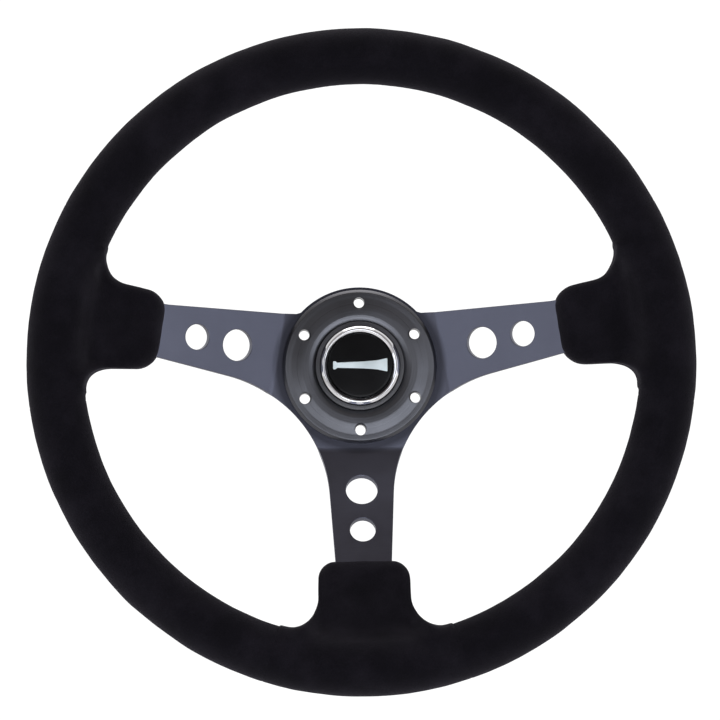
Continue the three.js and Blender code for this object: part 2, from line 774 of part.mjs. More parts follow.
// ---------------------------------------------------------------- assembly
add("column_spigot", geometryOf(columnSpigot()), steel);
add("quick_release_hub", geometryOf(quickReleaseHub()), anodised);
add("release_collar", releaseCollar(), anodised);
add("collar_spring", coil(18.4, 0.8, behind(39.8), behind(QR.cupBack + FIT), 4.5), springSteel);
for (let i = 0; i < BALL_COUNT; i++) {
  const ball = new THREE.SphereGeometry(BALL_R, 10, 8);
  const [x, y] = spokePoint(45 + (360 * i) / BALL_COUNT, BALL_CENTRE_R, 0);
  add(`lock_ball_${i + 1}`, ball.translate(x, y, behind(QR.ballBack)), steel);
}
add("retaining_washer", ring(QR.barrelR + 0.2, 20, behind(57.7), behind(56.2)), steel);
add("circlip", circlip(), springSteel);
for (let i = 0; i < 6; i++) add(`hub_screw_${i + 1}`, geometryOf(hubScrew(60 * i)), blackSteel);

add("spoke_plate", geometryOf(spokePlate()), anodised);
add("centre_ring", geometryOf(centreRing()), anodised);

add("horn_housing", geometryOf(hornHousing()), blackPlastic);
add("horn_cap", hornCap(), blackPlastic);
add("horn_bezel", hornBezel(), chrome);
add("horn_symbol", geometryOf(hornSymbol()), paleInk);
add("horn_spring", coil(9.3, 0.65, WELL_FLOOR_Z + FIT, FLANGE_BACK_Z - FIT, 5), springSteel);
add("horn_contact_moving", ring(10.6, 17.4, FLANGE_BACK_Z - 1.1, FLANGE_BACK_Z - FIT), brass);
const FIXED_CONTACT_Z = FLANGE_BACK_Z - 1.1 - HORN.travel - FIT;
add("horn_contact_fixed", ring(12, 17.4, FIXED_CONTACT_Z - 0.9, FIXED_CONTACT_Z), brass);
add("contact_insulator", ring(11, 18, WELL_FLOOR_Z + FIT, FIXED_CONTACT_Z - 1.1), phenolic);
[-1, 1].forEach((side, i) => {
  const { x, width, t, length } = TERMINAL;
  const tab = new THREE.BoxGeometry(t, width, length);
  add(`horn_terminal_${i + 1}`, tab.translate(side * x, 0, WELL_FLOOR_Z - length / 2), brass);
});

add("rim_hoop", rimTorus(HOOP_R, 8), castAlloy);
add("rim_foam", geometryOf(rimFoam()), foam);
for (const [name, direction] of Object.entries(SPOKES)) {
  add(`rim_bracket_${name}`, geometryOf(rimBracket(direction)), castAlloy);
  add(`bracket_screw_${name}_1`, geometryOf(bracketScrew(direction, -1)), blackSteel);
  add(`bracket_screw_${name}_2`, geometryOf(bracketScrew(direction, 1)), blackSteel);
  add(`spoke_cover_${name}`, geometryOf(spokeCover(direction)), suede);
}
const between = (from, to) => [from + BOOT_HALF_ANGLE + 0.1, to - BOOT_HALF_ANGLE - 0.1];
const ARCS = {
  top: between(SPOKES.right, SPOKES.left),
  left: between(SPOKES.left, SPOKES.bottom),
  right: between(SPOKES.bottom, SPOKES.right + 360),
};
for (const [name, [from, to]] of Object.entries(ARCS)) {
  add(`rim_cover_${name}`, rimTube(GRIP_R, from, to, 12, GRIP_R - COVER_T), suede);
  add(`seam_thread_${name}`, seamThread(from + 0.5, to - 0.5), threadBlack);
}

wheel.rotation.x = Math.PI / 2;
export default wheel;
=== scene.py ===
"""Looks for the quick-release steering wheel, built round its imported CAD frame.

Pieces are made in millimetres facing the driver: x to the right, y up and z towards the driver, with
z = 0 at the column spigot's end face. to_frame() turns such points into the frame's metres.
"""
import json
import math
from contextlib import contextmanager

import bmesh
import bpy
import numpy as np
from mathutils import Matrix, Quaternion, Vector


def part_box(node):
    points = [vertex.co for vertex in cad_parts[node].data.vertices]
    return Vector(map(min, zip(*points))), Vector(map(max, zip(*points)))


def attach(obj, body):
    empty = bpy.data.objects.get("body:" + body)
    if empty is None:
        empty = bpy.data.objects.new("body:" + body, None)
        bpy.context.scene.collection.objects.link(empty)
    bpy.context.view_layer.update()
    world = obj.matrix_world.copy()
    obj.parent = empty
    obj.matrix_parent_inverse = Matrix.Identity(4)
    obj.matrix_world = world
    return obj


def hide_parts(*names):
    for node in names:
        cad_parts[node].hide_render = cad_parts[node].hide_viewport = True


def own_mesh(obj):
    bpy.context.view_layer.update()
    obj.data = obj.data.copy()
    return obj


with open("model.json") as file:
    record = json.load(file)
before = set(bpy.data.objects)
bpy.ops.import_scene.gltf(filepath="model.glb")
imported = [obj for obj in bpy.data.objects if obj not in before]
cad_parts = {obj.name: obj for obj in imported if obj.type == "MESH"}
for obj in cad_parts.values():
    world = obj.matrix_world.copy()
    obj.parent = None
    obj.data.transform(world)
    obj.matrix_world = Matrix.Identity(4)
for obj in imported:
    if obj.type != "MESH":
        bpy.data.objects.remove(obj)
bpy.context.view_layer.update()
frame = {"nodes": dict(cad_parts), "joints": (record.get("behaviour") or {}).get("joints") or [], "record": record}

MM = 0.001
NODES = frame["nodes"]
BODY_OF = {n: b for b, nodes in frame["record"]["behaviour"]["bodies"].items() for n in nodes}


def extent(node):
    """How far a CAD node reaches sideways from the axis, and its back and front heights."""
    low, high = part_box(node)
    return max(high.x, -low.x) / MM, -high.y / MM, -low.y / MM


# ---- sizes, from the frame
RIM_OUTER, RIM_BACK, RIM_FRONT = extent("spoke_cover_right")[0], *extent("rim_cover_top")[1:]
GRIP_R = (RIM_FRONT - RIM_BACK) / 2
RIM_R = RIM_OUTER - GRIP_R
RIM_Z = RIM_FRONT - GRIP_R
PLATE_BACK = extent("spoke_plate")[1]
PLATE_T = 4
PLATE_MID = PLATE_BACK + PLATE_T / 2
PLATE_FRONT = PLATE_BACK + PLATE_T
SPOKES = {"right": 10, "left": 170, "bottom": 270}
SLOPE = math.radians(25.5)
BEND_R = 8
BEND_START = 44.3
BEND_END = BEND_START + BEND_R * math.sin(SLOPE)
DISC_R = 44
SPOKE_END = 153
WRAP_START = 107.5
MIDDLE_U = 72
BOLT_CIRCLE_R = 35
BOLT_HOLE_R = 2.9
SCREW_CIRCLE_R = 28.1
BOOT_ANGLE = 18


# ---- helpers: shapes
def to_frame(points):
    """Local millimetres to the frame's metres."""
    p = np.asarray(points, float).reshape(-1, 3)
    return np.stack([p[:, 0], -p[:, 2], p[:, 1]], 1) * MM


def polar(radius, degrees, z=0.0):
    a = math.radians(degrees)
    return radius * math.cos(a), radius * math.sin(a), z


def rounded(corners, radius=0.0, closed=True, step=15.0):
    """Points through [x, y] or [x, y, corner radius] corners, with each corner rounded by an arc."""
    out = []
    count = len(corners)
    for i, (x, y, *own) in enumerate(corners):
        r = own[0] if own else radius
        here = np.array([x, y], float)
        if r <= 0 or (not closed and i in (0, count - 1)):
            out.append((x, y))
            continue
        before = np.array(corners[i - 1][:2], float) - here
        after = np.array(corners[(i + 1) % count][:2], float) - here
        lengths = np.linalg.norm(before), np.linalg.norm(after)
        before, after = before / lengths[0], after / lengths[1]
        half = math.acos(max(-1.0, min(1.0, float(before @ after)))) / 2
        if half > math.radians(87):
            out.append((x, y))
            continue
        reach = min(r / math.tan(half), 0.49 * min(lengths))
        r = reach * math.tan(half)
        centre = here + (before + after) / np.linalg.norm(before + after) * r / math.sin(half)
        first, last = here + before * reach - centre, here + after * reach - centre
        start = math.atan2(first[1], first[0])
        sweep = (math.atan2(last[1], last[0]) - start + math.pi) % (2 * math.pi) - math.pi
        steps = max(2, math.ceil(abs(math.degrees(sweep)) / step))
        for k in range(steps + 1):
            a = start + sweep * k / steps
            out.append((centre[0] + r * math.cos(a), centre[1] + r * math.sin(a)))
    return out


def lathe(outline, segments=144, shape=None):
    """A turned piece from [radius, z] points, going out at the back and in at the front.
    shape(radius, z, angles) may change the radius round the turn."""
    closed = math.dist(outline[0], outline[-1]) < 1e-6
    rows = outline[:-1] if closed else outline
    angles = np.arange(segments) * 2 * math.pi / segments
    points, index = [], []
    for r, z in rows:
        if r < 1e-6:
            index.append([len(points)] * segments)
            points.append((0.0, 0.0, z))
            continue
        index.append(list(range(len(points), len(points) + segments)))
        radii = np.full(segments, float(r)) if shape is None else shape(r, z, angles)
        points += list(zip(radii * np.cos(angles), radii * np.sin(angles), [z] * segments))
    faces = []
    for low, high in zip(index, index[1:] + ([index[0]] if closed else [])):
        for i in range(segments):
            j = (i + 1) % segments
            corners = list(dict.fromkeys([low[i], low[j], high[j], high[i]]))
            if len(corners) > 2:
                faces.append(corners)
    return points, faces


def loop_back(outline):
    """The same outline, closed on its first point."""
    return list(outline) + [outline[0]]


def ring_faces(rings, sides, closed=False):
    """Quads between successive rings of points; closed joins the last ring to the first."""
    faces = []
    for k in range(rings if closed else rings - 1):
        a, b = k * sides, (k + 1) % rings * sides
        for i in range(sides):
            j = (i + 1) % sides
            faces.append([a + i, a + j, b + j, b + i])
    return faces


def tube(path, radius, sides):
    """A round tube along a path of points, with domed ends."""
    path = np.asarray(path, float)
    tangents = np.gradient(path, axis=0)
    tangents /= np.linalg.norm(tangents, axis=1)[:, None]
    normal = np.cross(tangents[0], (0.3, 0.5, 0.81))
    normal /= np.linalg.norm(normal)
    points = []
    turn = np.arange(sides) * 2 * math.pi / sides
    for p, t in zip(path, tangents):
        normal = normal - t * (normal @ t)
        normal /= np.linalg.norm(normal)
        side = np.cross(t, normal)
        points.append(p + radius * (np.cos(turn)[:, None] * normal + np.sin(turn)[:, None] * side))
    dome = radius * 0.6
    ends = [path[0] - tangents[0] * dome, path[-1] + tangents[-1] * dome]
    points = np.concatenate([*points, ends])
    faces = ring_faces(len(path), sides)
    last = (len(path) - 1) * sides
    for i in range(sides):
        j = (i + 1) % sides
        faces.append([j, i, len(points) - 2])
        faces.append([last + i, last + j, len(points) - 1])
    return points, faces


def joined(parts):
    """Several (points, faces) as one."""
    points, faces, base = [], [], 0
    for p, f in parts:
        p = np.asarray(p, float).reshape(-1, 3)
        points.append(p)
        faces += [[base + i for i in face] for face in f]
        base += len(p)
    return np.concatenate(points), faces


def moved(part, offset=(0, 0, 0), turn=0.0):
    """A (points, faces) turned about the axis by degrees after an offset."""
    p = np.asarray(part[0], float).reshape(-1, 3) + np.array(offset, float)
    a = math.radians(turn)
    x, y = p[:, 0] * math.cos(a) - p[:, 1] * math.sin(a), p[:, 0] * math.sin(a) + p[:, 1] * math.cos(a)
    return np.stack([x, y, p[:, 2]], 1), part[1]


def as_mesh(part, name="part"):
    """A Blender mesh of a (points, faces), still in millimetres."""
    mesh = bpy.data.meshes.new(name)
    mesh.from_pydata([tuple(map(float, p)) for p in part[0]], [], part[1])
    mesh.validate()
    return mesh


def as_part(mesh):
    points = np.zeros(len(mesh.vertices) * 3)
    mesh.vertices.foreach_get("co", points)
    return points.reshape(-1, 3), [list(p.vertices) for p in mesh.polygons]


def drilled(part, cutters):
    """A part with cutters taken out of it."""
    scene = bpy.context.scene
    body = bpy.data.objects.new("body", as_mesh(part))
    tools = bpy.data.objects.new("tools", as_mesh(joined(cutters)))
    for o in (body, tools):
        scene.collection.objects.link(o)
        fix_normals(o.data)
    cut = body.modifiers.new("cut", "BOOLEAN")
    cut.operation, cut.solver, cut.object = "DIFFERENCE", "EXACT", tools
    graph = bpy.context.evaluated_depsgraph_get()
    result = as_part(bpy.data.meshes.new_from_object(body.evaluated_get(graph)))
    for o in (body, tools):
        bpy.data.objects.remove(o)
    return result


@contextmanager
def editing(mesh):
    bm = bmesh.new()
    bm.from_mesh(mesh)
    yield bm
    bm.to_mesh(mesh)
    bm.free()


def fix_normals(mesh, join=1e-5):
    """Joins points closer than join, and turns every face outwards."""
    with editing(mesh) as bm:
        bmesh.ops.remove_doubles(bm, verts=bm.verts, dist=join)
        bmesh.ops.recalc_face_normals(bm, faces=bm.faces)


def slice_mesh(bm, place, across, faces=None, dist=1e-4, clear=False):
    """Cuts faces along a plane, or all of them; clear takes away what lies beyond it."""
    faces = faces or list(bm.faces)
    edges = dict.fromkeys(e for f in faces for e in f.edges)
    geom = [*dict.fromkeys(v for f in faces for v in f.verts), *edges, *faces]
    bmesh.ops.bisect_plane(bm, geom=geom, plane_co=place, plane_no=across, dist=dist, clear_outer=clear)


def sheet(loops, thickness, edge):
    """A flat plate bounded by closed loops of [x, y], with rounded edges, centred on z = 0."""
    curve = bpy.data.curves.new("loops", "CURVE")
    curve.dimensions, curve.fill_mode = "2D", "BOTH"
    curve.extrude, curve.bevel_depth = thickness / 2 - edge, edge
    curve.bevel_resolution, curve.offset = 2, -edge
    for loop in loops:
        spline = curve.splines.new("POLY")
        spline.points.add(len(loop) - 1)
        spline.points.foreach_set("co", [c for x, y in loop for c in (x, y, 0.0, 1.0)])
        spline.use_cyclic_u = True
    holder = bpy.data.objects.new("loops", curve)
    bpy.context.scene.collection.objects.link(holder)
    graph = bpy.context.evaluated_depsgraph_get()
    mesh = bpy.data.meshes.new_from_object(holder.evaluated_get(graph))
    bpy.data.objects.remove(holder)
    with editing(mesh) as bm:
        bmesh.ops.remove_doubles(bm, verts=bm.verts, dist=1e-3)
    return mesh


def dress(mesh, material, crease):
    """Gives a mesh its material, smooth except where it turns by more than the crease in degrees."""
    mesh.materials.clear()
    mesh.materials.append(material)
    mesh.polygons.foreach_set("use_smooth", [True] * len(mesh.polygons))
    if crease:
        mesh.set_sharp_from_angle(angle=math.radians(crease))


def piece(name, part, look, node, *more_nodes, crease=32, body=None):
    """Adds a piece that stands for CAD nodes and rides on their body; with no crease it's smooth all over."""
    material, slot = look
    mesh = as_mesh((to_frame(part[0]), part[1]), name)
    fix_normals(mesh, 1e-7)
    dress(mesh, material, crease)
    made = bpy.data.objects.new(name, mesh)
    bpy.context.scene.collection.objects.link(made)
    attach(made, body or BODY_OF[node])
    if node:
        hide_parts(node, *more_nodes)
    return made


def wobble(points, size, seed):
    """A smooth random value from -1 to 1 at each point, over lumps of about size millimetres."""
    rng = np.random.RandomState(seed)
    total = np.zeros(len(points))
    waves = 14
    for _ in range(waves):
        d = rng.normal(size=3)
        d *= 2 * math.pi / (size * rng.uniform(0.7, 1.6) * np.linalg.norm(d))
        total += np.sin(points @ d + rng.uniform(0, 2 * math.pi))
    return total / math.sqrt(waves)


# ---- helpers: materials
def material(name, **values):
    """A new material, its tree and its shader, with shader inputs set from values."""
    m = bpy.data.materials.new(name)
    m.use_nodes = True
    shader = m.node_tree.nodes["Principled BSDF"]
    for key, value in values.items():
        shader.inputs[key.replace("_", " ")].default_value = value
    return m, m.node_tree, shader


def grain(tree, scale, detail=3.0, stretch=(1, 1, 1), roughness=0.55):
    """Noise in the piece's own metres; scale is lumps per metre."""
    where = tree.nodes.new("ShaderNodeTexCoord")
    place = tree.nodes.new("ShaderNodeMapping")
    place.inputs["Scale"].default_value = stretch
    noise = tree.nodes.new("ShaderNodeTexNoise")
    noise.inputs["Scale"].default_value = scale
    noise.inputs["Detail"].default_value = detail
    noise.inputs["Roughness"].default_value = roughness
    tree.links.new(where.outputs["Object"], place.inputs["Vector"])
    tree.links.new(place.outputs["Vector"], noise.inputs["Vector"])
    return noise.outputs["Fac"]


def axis_distance(tree):
    """Distance from the steering axis, and the place along it, in metres."""
    nodes, links = tree.nodes, tree.links
    where = nodes.new("ShaderNodeTexCoord")
    split = nodes.new("ShaderNodeSeparateXYZ")
    flat = nodes.new("ShaderNodeCombineXYZ")
    length = nodes.new("ShaderNodeVectorMath")
    length.operation = "LENGTH"
    links.new(where.outputs["Object"], split.inputs[0])
    links.new(split.outputs["X"], flat.inputs["X"])
    links.new(split.outputs["Z"], flat.inputs["Y"])
    links.new(flat.outputs[0], length.inputs[0])
    return length.outputs["Value"], split.outputs["Y"]


def turned_grain(tree, scale):
    """Noise that is the same all round the steering axis, as a lathe tool leaves it."""
    distance, depth = axis_distance(tree)
    back = tree.nodes.new("ShaderNodeCombineXYZ")
    noise = tree.nodes.new("ShaderNodeTexNoise")
    noise.inputs["Scale"].default_value = scale
    noise.inputs["Detail"].default_value = 4.0
    noise.inputs["Distortion"].default_value = 0.15
    tree.links.new(distance, back.inputs["X"])
    tree.links.new(depth, back.inputs["Y"])
    tree.links.new(back.outputs[0], noise.inputs["Vector"])
    return noise.outputs["Fac"]


def spread(tree, value, low, high, start=0.3, end=0.7):
    """A value from 0 to 1 stretched over start to end and given as low to high."""
    node = tree.nodes.new("ShaderNodeMapRange")
    for key, number in zip(("From Min", "From Max", "To Min", "To Max"), (start, end, low, high)):
        node.inputs[key].default_value = number
    tree.links.new(value, node.inputs["Value"])
    return node.outputs["Result"]


def tint(tree, value, *stops):
    """A colour ramp; stops are (position, (r, g, b))."""
    node = tree.nodes.new("ShaderNodeValToRGB")
    ramp = node.color_ramp
    while len(ramp.elements) < len(stops):
        ramp.elements.new(0.5)
    for element, (at, colour) in zip(ramp.elements, stops):
        element.position = at
        element.color = (*colour, 1.0)
    tree.links.new(value, node.inputs["Fac"])
    return node.outputs["Color"]


def added(tree, first, second, share):
    """first plus share of second."""
    node = tree.nodes.new("ShaderNodeMath")
    node.operation = "MULTIPLY_ADD"
    node.inputs[1].default_value = share
    tree.links.new(second, node.inputs[0])
    tree.links.new(first, node.inputs[2])
    return node.outputs["Value"]


def painted(tree, shader, value, *stops):
    tree.links.new(tint(tree, value, *stops), shader.inputs["Base Color"])


def roughened(tree, shader, value, low, high, start=0.3, end=0.7):
    tree.links.new(spread(tree, value, low, high, start, end), shader.inputs["Roughness"])


def bumped(tree, shader, height, distance, strength=1.0):
    node = tree.nodes.new("ShaderNodeBump")
    node.inputs["Strength"].default_value = strength
    node.inputs["Distance"].default_value = distance
    tree.links.new(height, node.inputs["Height"])
    tree.links.new(node.outputs["Normal"], shader.inputs["Normal"])


def suede():
    """Short dense nap: matte, brushed one way in patches, with a little sheen at the turn."""
    m, tree, shader = material(
        "black_suede",
        Roughness=0.95,
        Specular_IOR_Level=0.06,
        Sheen_Weight=0.06,
        Sheen_Roughness=0.5,
        Sheen_Tint=(0.80, 0.74, 0.88, 1.0),
    )
    patches = grain(tree, 38, 5.0, roughness=0.62)
    nap = grain(tree, 1500, 2.0)
    fibres = grain(tree, 4200, 2.0)
    painted(
        tree,
        shader,
        added(tree, patches, nap, 0.35),
        (0.42, (0.0018, 0.0015, 0.0026)), (0.62, (0.0034, 0.0029, 0.0046)),
        (0.92, (0.0085, 0.0074, 0.0104)),
    )
    roughened(tree, shader, patches, 0.86, 1.0)
    bumped(tree, shader, added(tree, nap, fibres, 0.6), 0.00022, 0.9)
    return m


def thread():
    m, tree, shader = material("black_thread", Roughness=0.6, Sheen_Weight=0.2, Specular_IOR_Level=0.3)
    twist = grain(tree, 2600, 2.0)
    painted(tree, shader, twist, (0.35, (0.006, 0.0055, 0.0075)), (0.7, (0.016, 0.015, 0.019)))
    bumped(tree, shader, twist, 0.0001)
    return m


def anodised_plate():
    """Black anodising over a fine linear grain, with painted shade that darkens the flat disc round the hub."""
    dark, light = (0.076, 0.078, 0.101), (0.106, 0.110, 0.143)
    m, tree, shader = material("anodised_plate", Metallic=1.0)
    lines = grain(tree, 260, 6.0, (0.35, 1, 14), 0.7)
    cloud = grain(tree, 24, 3.0)
    colour = tint(tree, added(tree, cloud, lines, 0.25), (0.40, dark), (0.85, light))
    # painted shade: near the ring the flat disc is mixed towards a darker copy of the plate's colour
    painted_shade_on_disc = spread(tree, axis_distance(tree)[0], 1, 0, (DISC_R + 1) * MM, (DISC_R + 4.5) * MM)
    mix = tree.nodes.new("ShaderNodeMix")
    mix.data_type = "RGBA"
    tree.links.new(painted_shade_on_disc, mix.inputs["Factor"])
    tree.links.new(colour, mix.inputs["A"])
    mix.inputs["B"].default_value = (*(c * 0.58 for c in dark), 1.0)
    tree.links.new(mix.outputs["Result"], shader.inputs["Base Color"])
    roughened(tree, shader, added(tree, cloud, lines, 0.4), 0.30, 0.44, 0.45, 0.9)
    bumped(tree, shader, lines, 0.00003, 0.5)
    return m


def turned_metal(name, dark, light, rough):
    """Metal faced on a lathe: fine rings that stretch its highlights across them."""
    m, tree, shader = material(name, Metallic=1.0, Anisotropic=0.6)
    tangent = tree.nodes.new("ShaderNodeTangent")
    tangent.direction_type, tangent.axis = "RADIAL", "Y"
    tree.links.new(tangent.outputs["Tangent"], shader.inputs["Tangent"])
    rings = turned_grain(tree, 1400)
    cloud = grain(tree, 30, 3.0)
    painted(tree, shader, added(tree, cloud, rings, 0.3), (0.45, dark), (0.85, light))
    roughened(tree, shader, rings, *rough)
    bumped(tree, shader, rings, 0.00002, 0.6)
    return m


def plain_metal(name, colour, rough, scale=900, bump=0.00001):
    """Metal with fine scratches and slight stains."""
    m, tree, shader = material(name, Metallic=1.0)
    stains = grain(tree, 45, 4.0)
    scratches = grain(tree, scale, 4.0)
    dark = tuple(c * 0.82 for c in colour)
    painted(tree, shader, stains, (0.35, dark), (0.65, colour))
    roughened(tree, shader, added(tree, stains, scratches, 0.5), rough * 0.75, rough * 1.3, 0.5, 1.0)
    bumped(tree, shader, scratches, bump, 0.5)
    return m


def moulded(name, colour, rough, scale=1800, bump=0.00002, gloss=0.5):
    """Moulded plastic with a spark-eroded texture."""
    m, tree, shader = material(name, Specular_IOR_Level=gloss)
    texture = grain(tree, scale, 2.0)
    cloud = grain(tree, 60, 2.0)
    dark = tuple(c * 0.75 for c in colour)
    painted(tree, shader, cloud, (0.35, dark), (0.65, colour))
    roughened(tree, shader, cloud, rough * 0.85, rough * 1.15)
    bumped(tree, shader, texture, bump, 0.6)
    return m


def foam_material():
    m, tree, shader = material("foam", Roughness=0.9, Specular_IOR_Level=0.2)
    cells = grain(tree, 900, 3.0)
    painted(tree, shader, cells, (0.3, (0.012, 0.012, 0.013)), (0.7, (0.03, 0.03, 0.033)))
    bumped(tree, shader, cells, 0.0003)
    return m


def laminate():
    m, tree, shader = material("laminate", Roughness=0.5)
    weave = grain(tree, 700, 3.0, (1, 6, 1))
    painted(tree, shader, weave, (0.3, (0.075, 0.03, 0.012)), (0.7, (0.15, 0.065, 0.028)))
    bumped(tree, shader, weave, 0.0001)
    return m


LOOKS = {
    "suede": (suede(), "suede"),
    "thread": (thread(), "thread"),
    "plate": (anodised_plate(), "black_anodised"),
    "hub": (
        turned_metal("anodised_hub", (0.05, 0.05, 0.06), (0.08, 0.08, 0.095), (0.28, 0.4)),
        "black_anodised",
    ),
    "ring": (
        turned_metal("anodised_ring", (0.070, 0.071, 0.078), (0.100, 0.101, 0.112), (0.26, 0.40)),
        "ring_anodised",
    ),
    "collar": (
        turned_metal("anodised_collar", (0.05, 0.05, 0.06), (0.085, 0.085, 0.1), (0.25, 0.38)),
        "black_anodised",
    ),
    "steel": (turned_metal("ground_steel", (0.42, 0.42, 0.43), (0.55, 0.55, 0.57), (0.18, 0.34)), "steel"),
    "ball": (plain_metal("bearing_steel", (0.62, 0.62, 0.64), 0.12), "steel"),
    "spring": (plain_metal("spring_wire", (0.50, 0.51, 0.53), 0.28, 1400), "spring_steel"),
    "black_steel": (plain_metal("black_oxide", (0.045, 0.045, 0.048), 0.38), "black_steel"),
    "chrome": (plain_metal("chrome", (0.80, 0.80, 0.82), 0.07, 700, 0.000003), "chrome"),
    "housing": (moulded("housing_plastic", (0.040, 0.040, 0.046), 0.34), "black_plastic"),
    "cap": (moulded("cap_plastic", (0.003, 0.003, 0.0035), 0.22, 900, 0.000006, 0.14), "black_plastic"),
    "print": (moulded("pale_print", (0.62, 0.70, 0.72), 0.45), "pale_print"),
    "brass": (plain_metal("brass", (0.60, 0.42, 0.15), 0.3), "brass"),
    "laminate": (laminate(), "phenolic"),
    "aluminium": (plain_metal("drawn_aluminium", (0.60, 0.61, 0.63), 0.38, 500, 0.00002), "bare_aluminium"),
    "foam": (foam_material(), "foam"),
}


# ---- camera, light and floor
def aim(thing, target):
    thing.rotation_mode = "QUATERNION"
    thing.rotation_quaternion = (Vector(target) - thing.location).to_track_quat("-Z", "Y")


def add_camera():
    """Close to the steering axis, a little to the left of it and below."""
    azimuth, elevation, distance = math.radians(-1.88), math.radians(-4.62), 1.077
    field, roll = math.radians(19.81), math.radians(0.75)
    rim_centre = Vector((0, -RIM_Z * MM, 0))
    back = Vector((
        math.sin(azimuth) * math.cos(elevation),
        -math.cos(azimuth) * math.cos(elevation),
        math.sin(elevation),
    ))
    data = bpy.data.cameras.new("camera")
    data.sensor_width = 36
    data.lens = data.sensor_width / 2 / math.tan(field / 2)
    data.shift_x, data.shift_y = -0.0040, -0.0023
    data.clip_start, data.clip_end = 0.05, 60
    camera = bpy.data.objects.new("camera", data)
    bpy.context.scene.collection.objects.link(camera)
    camera.location = rim_centre + back * distance
    aim(camera, rim_centre)
    camera.rotation_quaternion @= Quaternion((0, 0, -1), roll)
    bpy.context.scene.camera = camera


def add_light(name, place, size, radiance, colour):
    """A soft box of the given radiance, facing the wheel."""
    data = bpy.data.lights.new(name, "AREA")
    data.shape, data.size = "SQUARE", size
    data.energy = radiance * math.pi * size * size
    data.color = colour
    light = bpy.data.objects.new(name, data)
    bpy.context.scene.collection.objects.link(light)
    light.location = place
    light.visible_camera = False
    aim(light, (0, -0.09, 0))


def add_world():
    """White behind the wheel and below; on the driver's side dim at eye level and warmer above."""
    world = bpy.data.worlds.new("studio")
    bpy.context.scene.world = world
    world.use_nodes = True
    tree = world.node_tree
    where = tree.nodes.new("ShaderNodeTexCoord")
    split = tree.nodes.new("ShaderNodeSeparateXYZ")
    tree.links.new(where.outputs["Generated"], split.inputs[0])
    height = spread(tree, split.outputs["Z"], 0, 1, -1, 1)
    low, level, high = (0.95, 0.95, 0.97), (0.40, 0.40, 0.42), (0.36, 0.325, 0.305)
    driver = tint(tree, height, (0.40, low), (0.50, level), (0.80, high))
    mix = tree.nodes.new("ShaderNodeMix")
    mix.data_type = "RGBA"
    tree.links.new(spread(tree, split.outputs["Y"], 0, 1, -0.15, 0.35), mix.inputs["Factor"])
    tree.links.new(driver, mix.inputs["A"])
    mix.inputs["B"].default_value = (1.1, 1.1, 1.1, 1.0)
    tree.links.new(mix.outputs["Result"], tree.nodes["Background"].inputs["Color"])


def add_floor():
    """A wide round floor well below the wheel."""
    part = lathe([(0, 0), (0.6, 0), (1.5, 0), (3.4, 0)], 96)
    mesh = bpy.data.meshes.new("floor")
    mesh.from_pydata([(x, y, -0.75) for x, y, _ in part[0]], [], part[1])
    m, tree, shader = material("floor", Roughness=0.8, Specular_IOR_Level=0.2)
    shader.inputs["Base Color"].default_value = (0.92, 0.92, 0.92, 1)
    mesh.materials.append(m)
    floor = bpy.data.objects.new("floor", mesh)
    bpy.context.scene.collection.objects.link(floor)


add_camera()
add_world()
add_floor()
add_light("left_box", (-1.25, -1.0, 0.15), 1.1, 1.34, (0.86, 0.91, 1.0))
add_light("right_box", (1.25, -1.0, 0.15), 1.1, 1.10, (0.86, 0.91, 1.0))
add_light("low_box", (0.0, -1.02, -0.46), 0.5, 4.4, (0.88, 0.93, 1.0))
add_light("near_right_box", (0.42, -1.15, -0.12), 0.28, 3.6, (0.86, 0.91, 1.0))
add_light("top_box", (0.0, 0.2, 1.5), 1.2, 2.4, (1.0, 0.97, 0.95))
bpy.context.scene.view_settings.view_transform = "Standard"


# ---- spoke plate
def spoke_frame(degrees, points):
    """How far points lie along a spoke and across it."""
    a = math.radians(degrees)
    x, y = points[:, 0], points[:, 1]
    return x * math.cos(a) + y * math.sin(a), y * math.cos(a) - x * math.sin(a)


def on_spoke(degrees, u, v):
    a = math.radians(degrees)
    return u * math.cos(a) - v * math.sin(a), u * math.sin(a) + v * math.cos(a)


def spoke_slope(u):
    """The sheet's angle at distance u from the axis, before and after the bend."""
    return np.arcsin(np.clip((u - BEND_START) / BEND_R, 0, math.sin(SLOPE)))


def spoke_height(u):
    """Height of the sheet's middle at distance u from the axis."""
    u = np.asarray(u, float)
    bent = PLATE_MID + BEND_R * (1 - np.cos(spoke_slope(u)))
    return bent + np.maximum(u - BEND_END, 0) * math.tan(SLOPE)


def spoke_half_width(u):
    return 17.3 + (u - MIDDLE_U) * (15 - 17.3) / (WRAP_START - MIDDLE_U)


def crossing(a, b, c, d):
    """Where the line through a and b meets the line through c and d."""
    (ax, ay), (bx, by), (cx, cy), (dx, dy) = a, b, c, d
    t = ((cx - ax) * (dy - cy) - (cy - ay) * (dx - cx)) / ((bx - ax) * (dy - cy) - (by - ay) * (dx - cx))
    return ax + t * (bx - ax), ay + t * (by - ay)


